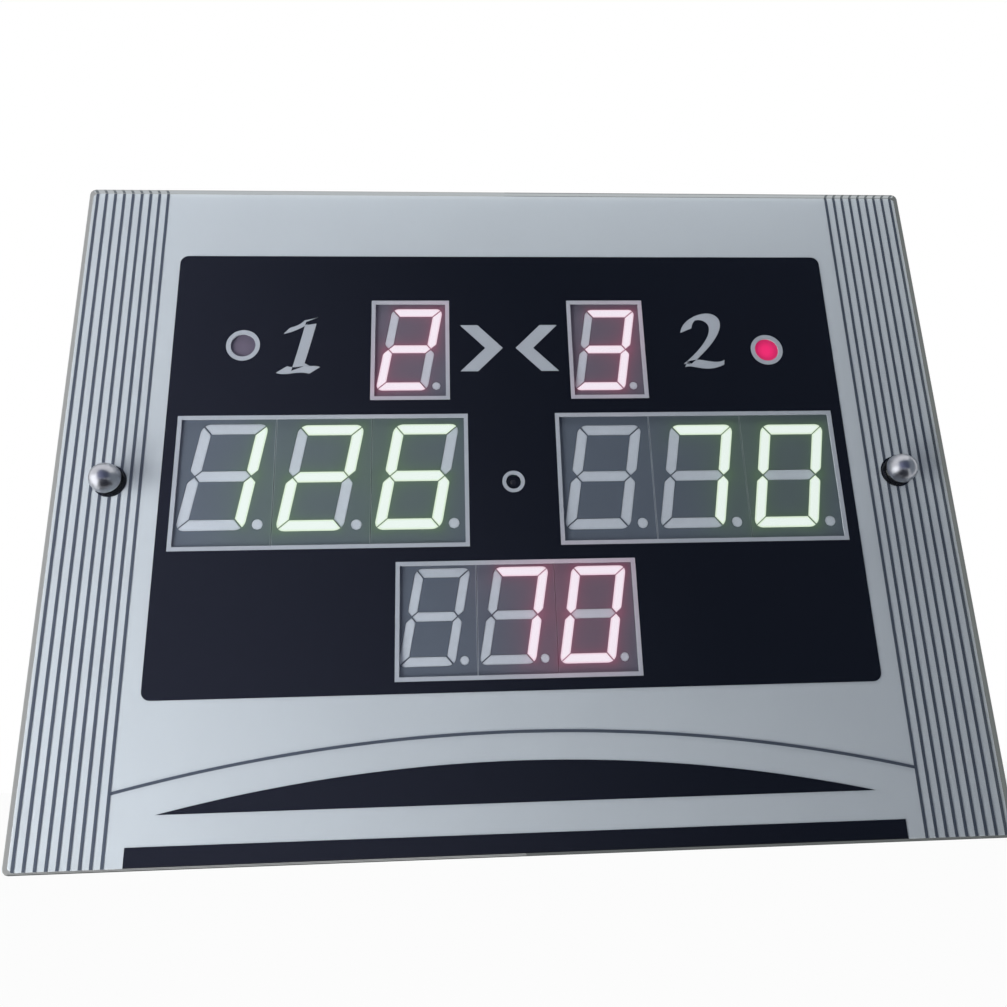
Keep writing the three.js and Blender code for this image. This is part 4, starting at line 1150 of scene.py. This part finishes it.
class SCOREBOARD_OT_caps(Operator):
    """Turns the chromed caps and their washers, and finishes the bolts"""

    bl_idname = "scoreboard.caps"
    bl_label = "Turn the Caps"

    def dome_profile(self, low, high, rim):
        """Half the section of a cap, from the end of its bore round to its crown."""
        radius = (high.x - low.x) / 2
        rear, shoulder = high.y, low.y + radius
        bore_end = rear - CAP_BORE_DEPTH
        profile = [(0, bore_end), (CAP_BORE, bore_end), (CAP_BORE, rear - rim), (CAP_BORE + rim, rear)]
        profile += [(radius - rim + r, rear - rim + y) for r, y in arc(0, 0, rim, math.pi / 2, 0, 6)]
        profile += [(r, shoulder - y) for r, y in arc(0, 0, radius, 0, math.pi / 2, 40)]
        return profile[:-1] + [(0, profile[-1][1])]

    def washer_profile(self, low, high):
        """The section of a washer with its four edges broken, as a closed run."""
        outer, inner = (high.x - low.x) / 2, WASHER_HOLE
        front, rear, edge = low.y, high.y, WASHER_EDGE
        upper = [(inner, front + edge), (inner + edge, front), (outer - edge, front), (outer, front + edge)]
        lower = [(outer, rear - edge), (outer - edge, rear), (inner + edge, rear), (inner, rear - edge)]
        return upper + lower + upper[:1]

    def execute(self, context):
        look = context.scene.scoreboard_caps
        chrome = plated("chrome", look.chrome, 0.3)
        nylon = moulded("clear_nylon", seen(214, 216, 214), 0.7, 0.3, 0.004)
        dress(plated("bolt_zinc", seen(186, 188, 190), 0.34, 0.1), "left_bolt", "right_bolt")
        for side in SIDES:
            middle = middle_of(f"{side}_cap")
            profile = self.dome_profile(*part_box(f"{side}_cap"), look.rim_round)
            cap = turned(f"{side}_dome", profile, *middle, look.steps, chrome)
            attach(cap, f"{side}_dome")
            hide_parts(f"{side}_cap")
            profile = self.washer_profile(*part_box(f"{side}_washer"))
            washer = turned(f"{side}_cap_washer", profile, *middle, look.steps, nylon)
            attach(washer, "housing")
            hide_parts(f"{side}_washer")
        return {"FINISHED"}


class SCOREBOARD_OT_housing(Operator):
    """Finishes the tray, the back cover and the cover's screws"""

    bl_idname = "scoreboard.housing"
    bl_label = "Finish the Housing"

    def execute(self, context):
        look = context.scene.scoreboard_housing
        dress(moulded("black_plastic", look.plastic, 0.7, 0.5, 0.03), "housing_tray", "back_cover")
        zinc = plated("screw_zinc", seen(178, 180, 182), 0.36, 0.12)
        dress(zinc, *[f"cover_screw_{i}" for i in range(1, 5)])
        return {"FINISHED"}


class SCOREBOARD_OT_electronics(Operator):
    """Finishes the display board, its screws, the parts on it and the leads"""

    bl_idname = "scoreboard.electronics"
    bl_label = "Finish the Electronics"

    def execute(self, context):
        dress(circuit_board(), "display_board")
        zinc = plated("board_screw_zinc", seen(180, 182, 184), 0.34, 0.1)
        dress(zinc, *[f"board_screw_{i}" for i in range(1, 5)])
        dress(chip_body("controller_chip", 2.2), "controller_chip")
        for side in SIDES:
            dress(chip_body(f"{side}_driver_chip", 1.6), f"{side}_driver_chip")
        dress(moulded("regulator_moulding", seen(30, 30, 33), 0.3, 0.5, 0.01), "voltage_regulator")
        dress(capacitor_sleeve(), "smoothing_capacitor")
        dress(moulded("buzzer_moulding", seen(22, 22, 24), 0.4, 0.4, 0.015), "buzzer")
        dress(moulded("lead_insulation", seen(150, 24, 26), 0.6, 0.4, 0.006), "inlet_lead", "board_lead")
        return {"FINISHED"}


class SCOREBOARD_OT_power(Operator):
    """Finishes the power inlet with its nut and pin, and the switch with its rocker"""

    bl_idname = "scoreboard.power"
    bl_label = "Finish the Power Inlet"

    def execute(self, context):
        dress(moulded("inlet_moulding", seen(26, 26, 28), 0.35, 0.42, 0.01), "power_inlet", "switch_body")
        dress(moulded("rocker_moulding", seen(24, 24, 26), 0.5, 0.3, 0.006), "power_rocker")
        dress(plated("nut_nickel", seen(176, 174, 168), 0.26, 0.08), "inlet_nut", "inlet_pin")
        return {"FINISHED"}


class SCOREBOARD_OT_stage(Operator):
    """Sets the pale floor, the studio light and the camera"""

    bl_idname = "scoreboard.stage"
    bl_label = "Set the Stage"

    def white_for_eyes(self, finish, light, shown):
        """Light that is plain white where the camera, gloss or glass sees it, and another elsewhere."""
        path = finish.node("ShaderNodeLightPath", {}, {}).socket.node
        rays = ("Is Camera Ray", "Is Glossy Ray", "Is Transmission Ray", "Diffuse Depth")
        camera, glossy, through, depth = (Signal(finish, path.outputs[ray]) for ray in rays)
        seen_by_eye = (camera + glossy + through).clamped() * (depth < 0.5)
        return finish.mix_shader(seen_by_eye, light, shown)

    def panel_light(self, name, place, turn, size, power):
        """A flat light that shines down its own z axis once turned by those degrees, and shows nowhere."""
        light = bpy.data.lights.new(name, "AREA")
        light.shape = "RECTANGLE"
        light.size, light.size_y = size
        light.energy = power
        lamp = bpy.data.objects.new(name, light)
        lamp.location = place
        lamp.rotation_euler = [math.radians(a) for a in turn]
        lamp.visible_camera = False
        lamp.visible_glossy = False
        lamp.visible_transmission = False
        bpy.context.collection.objects.link(lamp)

    def gloss_card(self, name, outline, y, material, turn=0, axis="X"):
        """A card that shows only in gloss and through glass, turned by those degrees about an axis."""
        bm = bmesh.new()
        slab(bm, [outline], y, -CARD_DEPTH)
        turned_so = Matrix.Rotation(math.radians(turn), 3, axis)
        bmesh.ops.rotate(bm, verts=bm.verts[:], cent=(0, 0, 0), matrix=turned_so)
        card = object_of(bm, name, material)
        card.visible_camera = False
        card.visible_diffuse = False
        card.visible_shadow = False

    def place_camera(self, look):
        """The camera at the photograph's viewing angle."""
        camera = bpy.data.cameras.new("camera")
        camera.sensor_fit = "HORIZONTAL"
        camera.sensor_width = 36
        camera.lens = look.lens
        camera.clip_start = 0.01
        eye = bpy.data.objects.new("camera", camera)
        eye.location = look.eye
        eye.rotation_euler = [math.radians(a) for a in EYE_TURN]
        bpy.context.collection.objects.link(eye)
        bpy.context.scene.camera = eye

    def light_room(self, look):
        """Soft light all round that looks plain white."""
        world = bpy.data.worlds.new("studio")
        bpy.context.scene.world = world
        sky = Finish("studio", world)
        soft, white = (
            sky.node("ShaderNodeBackground", {}, {"Color": (1, 1, 1), "Strength": strength})
            for strength in (look.room, 1.0)
        )
        sky.node("ShaderNodeOutputWorld", {}, {"Surface": self.white_for_eyes(sky, soft, white)})

    def lay_floor(self, look):
        """A pale matt floor that looks nearly white and keeps some of the object's shadow."""
        finish = Finish("pale_floor")
        tone = finish.mix(finish.noise(0.02, 3, 0.5), seen(236, 236, 237), seen(246, 246, 247))
        matt = finish.principled(Base_Color=tone, Roughness=0.8)
        shown = finish.mix_shader(0.97, matt, finish.emission((1, 1, 1)))
        material = finish.finished(self.white_for_eyes(finish, matt, shown))
        bm = bmesh.new()
        bmesh.ops.create_grid(bm, x_segments=1, y_segments=1, size=12)
        bmesh.ops.translate(bm, verts=bm.verts[:], vec=(0, 0, -look.floor_drop))
        floor = object_of(bm, "floor", material)

    def execute(self, context):
        look = context.scene.scoreboard_stage
        context.scene.view_settings.view_transform = "Standard"
        self.place_camera(look)
        self.light_room(look)
        self.lay_floor(look)
        room = Finish("dark_room")
        x, y, z = room.axes()
        tone = room.mix((x + 0.4 * z).band(-0.8, 0.6), (0.23, 0.25, 0.39), (0.055, 0.07, 0.12))
        dark = room.finished(room.emission(tone))
        night = glowing("dark_ground", (0.016, 0.018, 0.026))
        dim = glowing("dim_side", (0.24, 0.27, 0.3))
        bright = glowing("bright_side", (1, 1, 1), 1.9)
        self.gloss_card("dark_card", rectangle(-1.0, 1.25, -0.45, 1.35), -1.25, dark)
        self.gloss_card("foot_card", rectangle(-0.5, 0.5, 0.04, 1.1), -0.45, night, 90)
        self.gloss_card("side_card", rectangle(0.03, 0.9, -0.6, 0.7), 0.8, dim, -90, "Z")
        self.gloss_card("bright_card", rectangle(-0.7, -0.05, -0.75, 0.1), 0.66, bright, 90, "Z")
        self.panel_light("key", (-0.66, -0.3, -0.325), (114, 0, -68), (0.3, 1.0), look.key_power)
        self.panel_light("top", (0.18, -0.12, 0.52), (15, 0, 0), (0.8, 0.12), look.top_power)
        self.panel_light("rear", (0.7, 1.2, 0.7), (-63, 0, -30), (1.2, 0.9), look.rear_power)
        return {"FINISHED"}


class SCOREBOARD_PT_panel(Panel):
    """Lists the steps of dressing the scoreboard"""

    bl_label = "Scoreboard"
    bl_space_type = "VIEW_3D"
    bl_region_type = "UI"
    bl_category = "Scoreboard"

    def draw(self, context):
        for operator in OPERATORS:
            self.layout.operator(operator.bl_idname)
        for group in SETTINGS:
            box = self.layout.box()
            settings = getattr(context.scene, group)
            for name in settings.__annotations__:
                box.prop(settings, name)


OPERATORS = (
    SCOREBOARD_OT_stage,
    SCOREBOARD_OT_sheet,
    SCOREBOARD_OT_print,
    SCOREBOARD_OT_displays,
    SCOREBOARD_OT_lamps,
    SCOREBOARD_OT_caps,
    SCOREBOARD_OT_housing,
    SCOREBOARD_OT_electronics,
    SCOREBOARD_OT_power,
)

SETTINGS = {
    "scoreboard_print": ScoreboardPrint,
    "scoreboard_displays": ScoreboardDisplays,
    "scoreboard_lamps": ScoreboardLamps,
    "scoreboard_caps": ScoreboardCaps,
    "scoreboard_housing": ScoreboardHousing,
    "scoreboard_stage": ScoreboardStage,
}


def register():
    for group in (*SETTINGS.values(), *OPERATORS, SCOREBOARD_PT_panel):
        bpy.utils.register_class(group)
    for name, group in SETTINGS.items():
        setattr(bpy.types.Scene, name, PointerProperty(type=group))


def unregister():
    for name in SETTINGS:
        delattr(bpy.types.Scene, name)
    for group in reversed((*SETTINGS.values(), *OPERATORS, SCOREBOARD_PT_panel)):
        bpy.utils.unregister_class(group)


def main():
    register()
    bpy.ops.scoreboard.stage()
    bpy.ops.scoreboard.sheet()
    bpy.ops.scoreboard.print()
    bpy.ops.scoreboard.displays()
    bpy.ops.scoreboard.lamps()
    bpy.ops.scoreboard.caps()
    bpy.ops.scoreboard.housing()
    bpy.ops.scoreboard.electronics()
    bpy.ops.scoreboard.power()


if __name__ == "__main__":
    main()
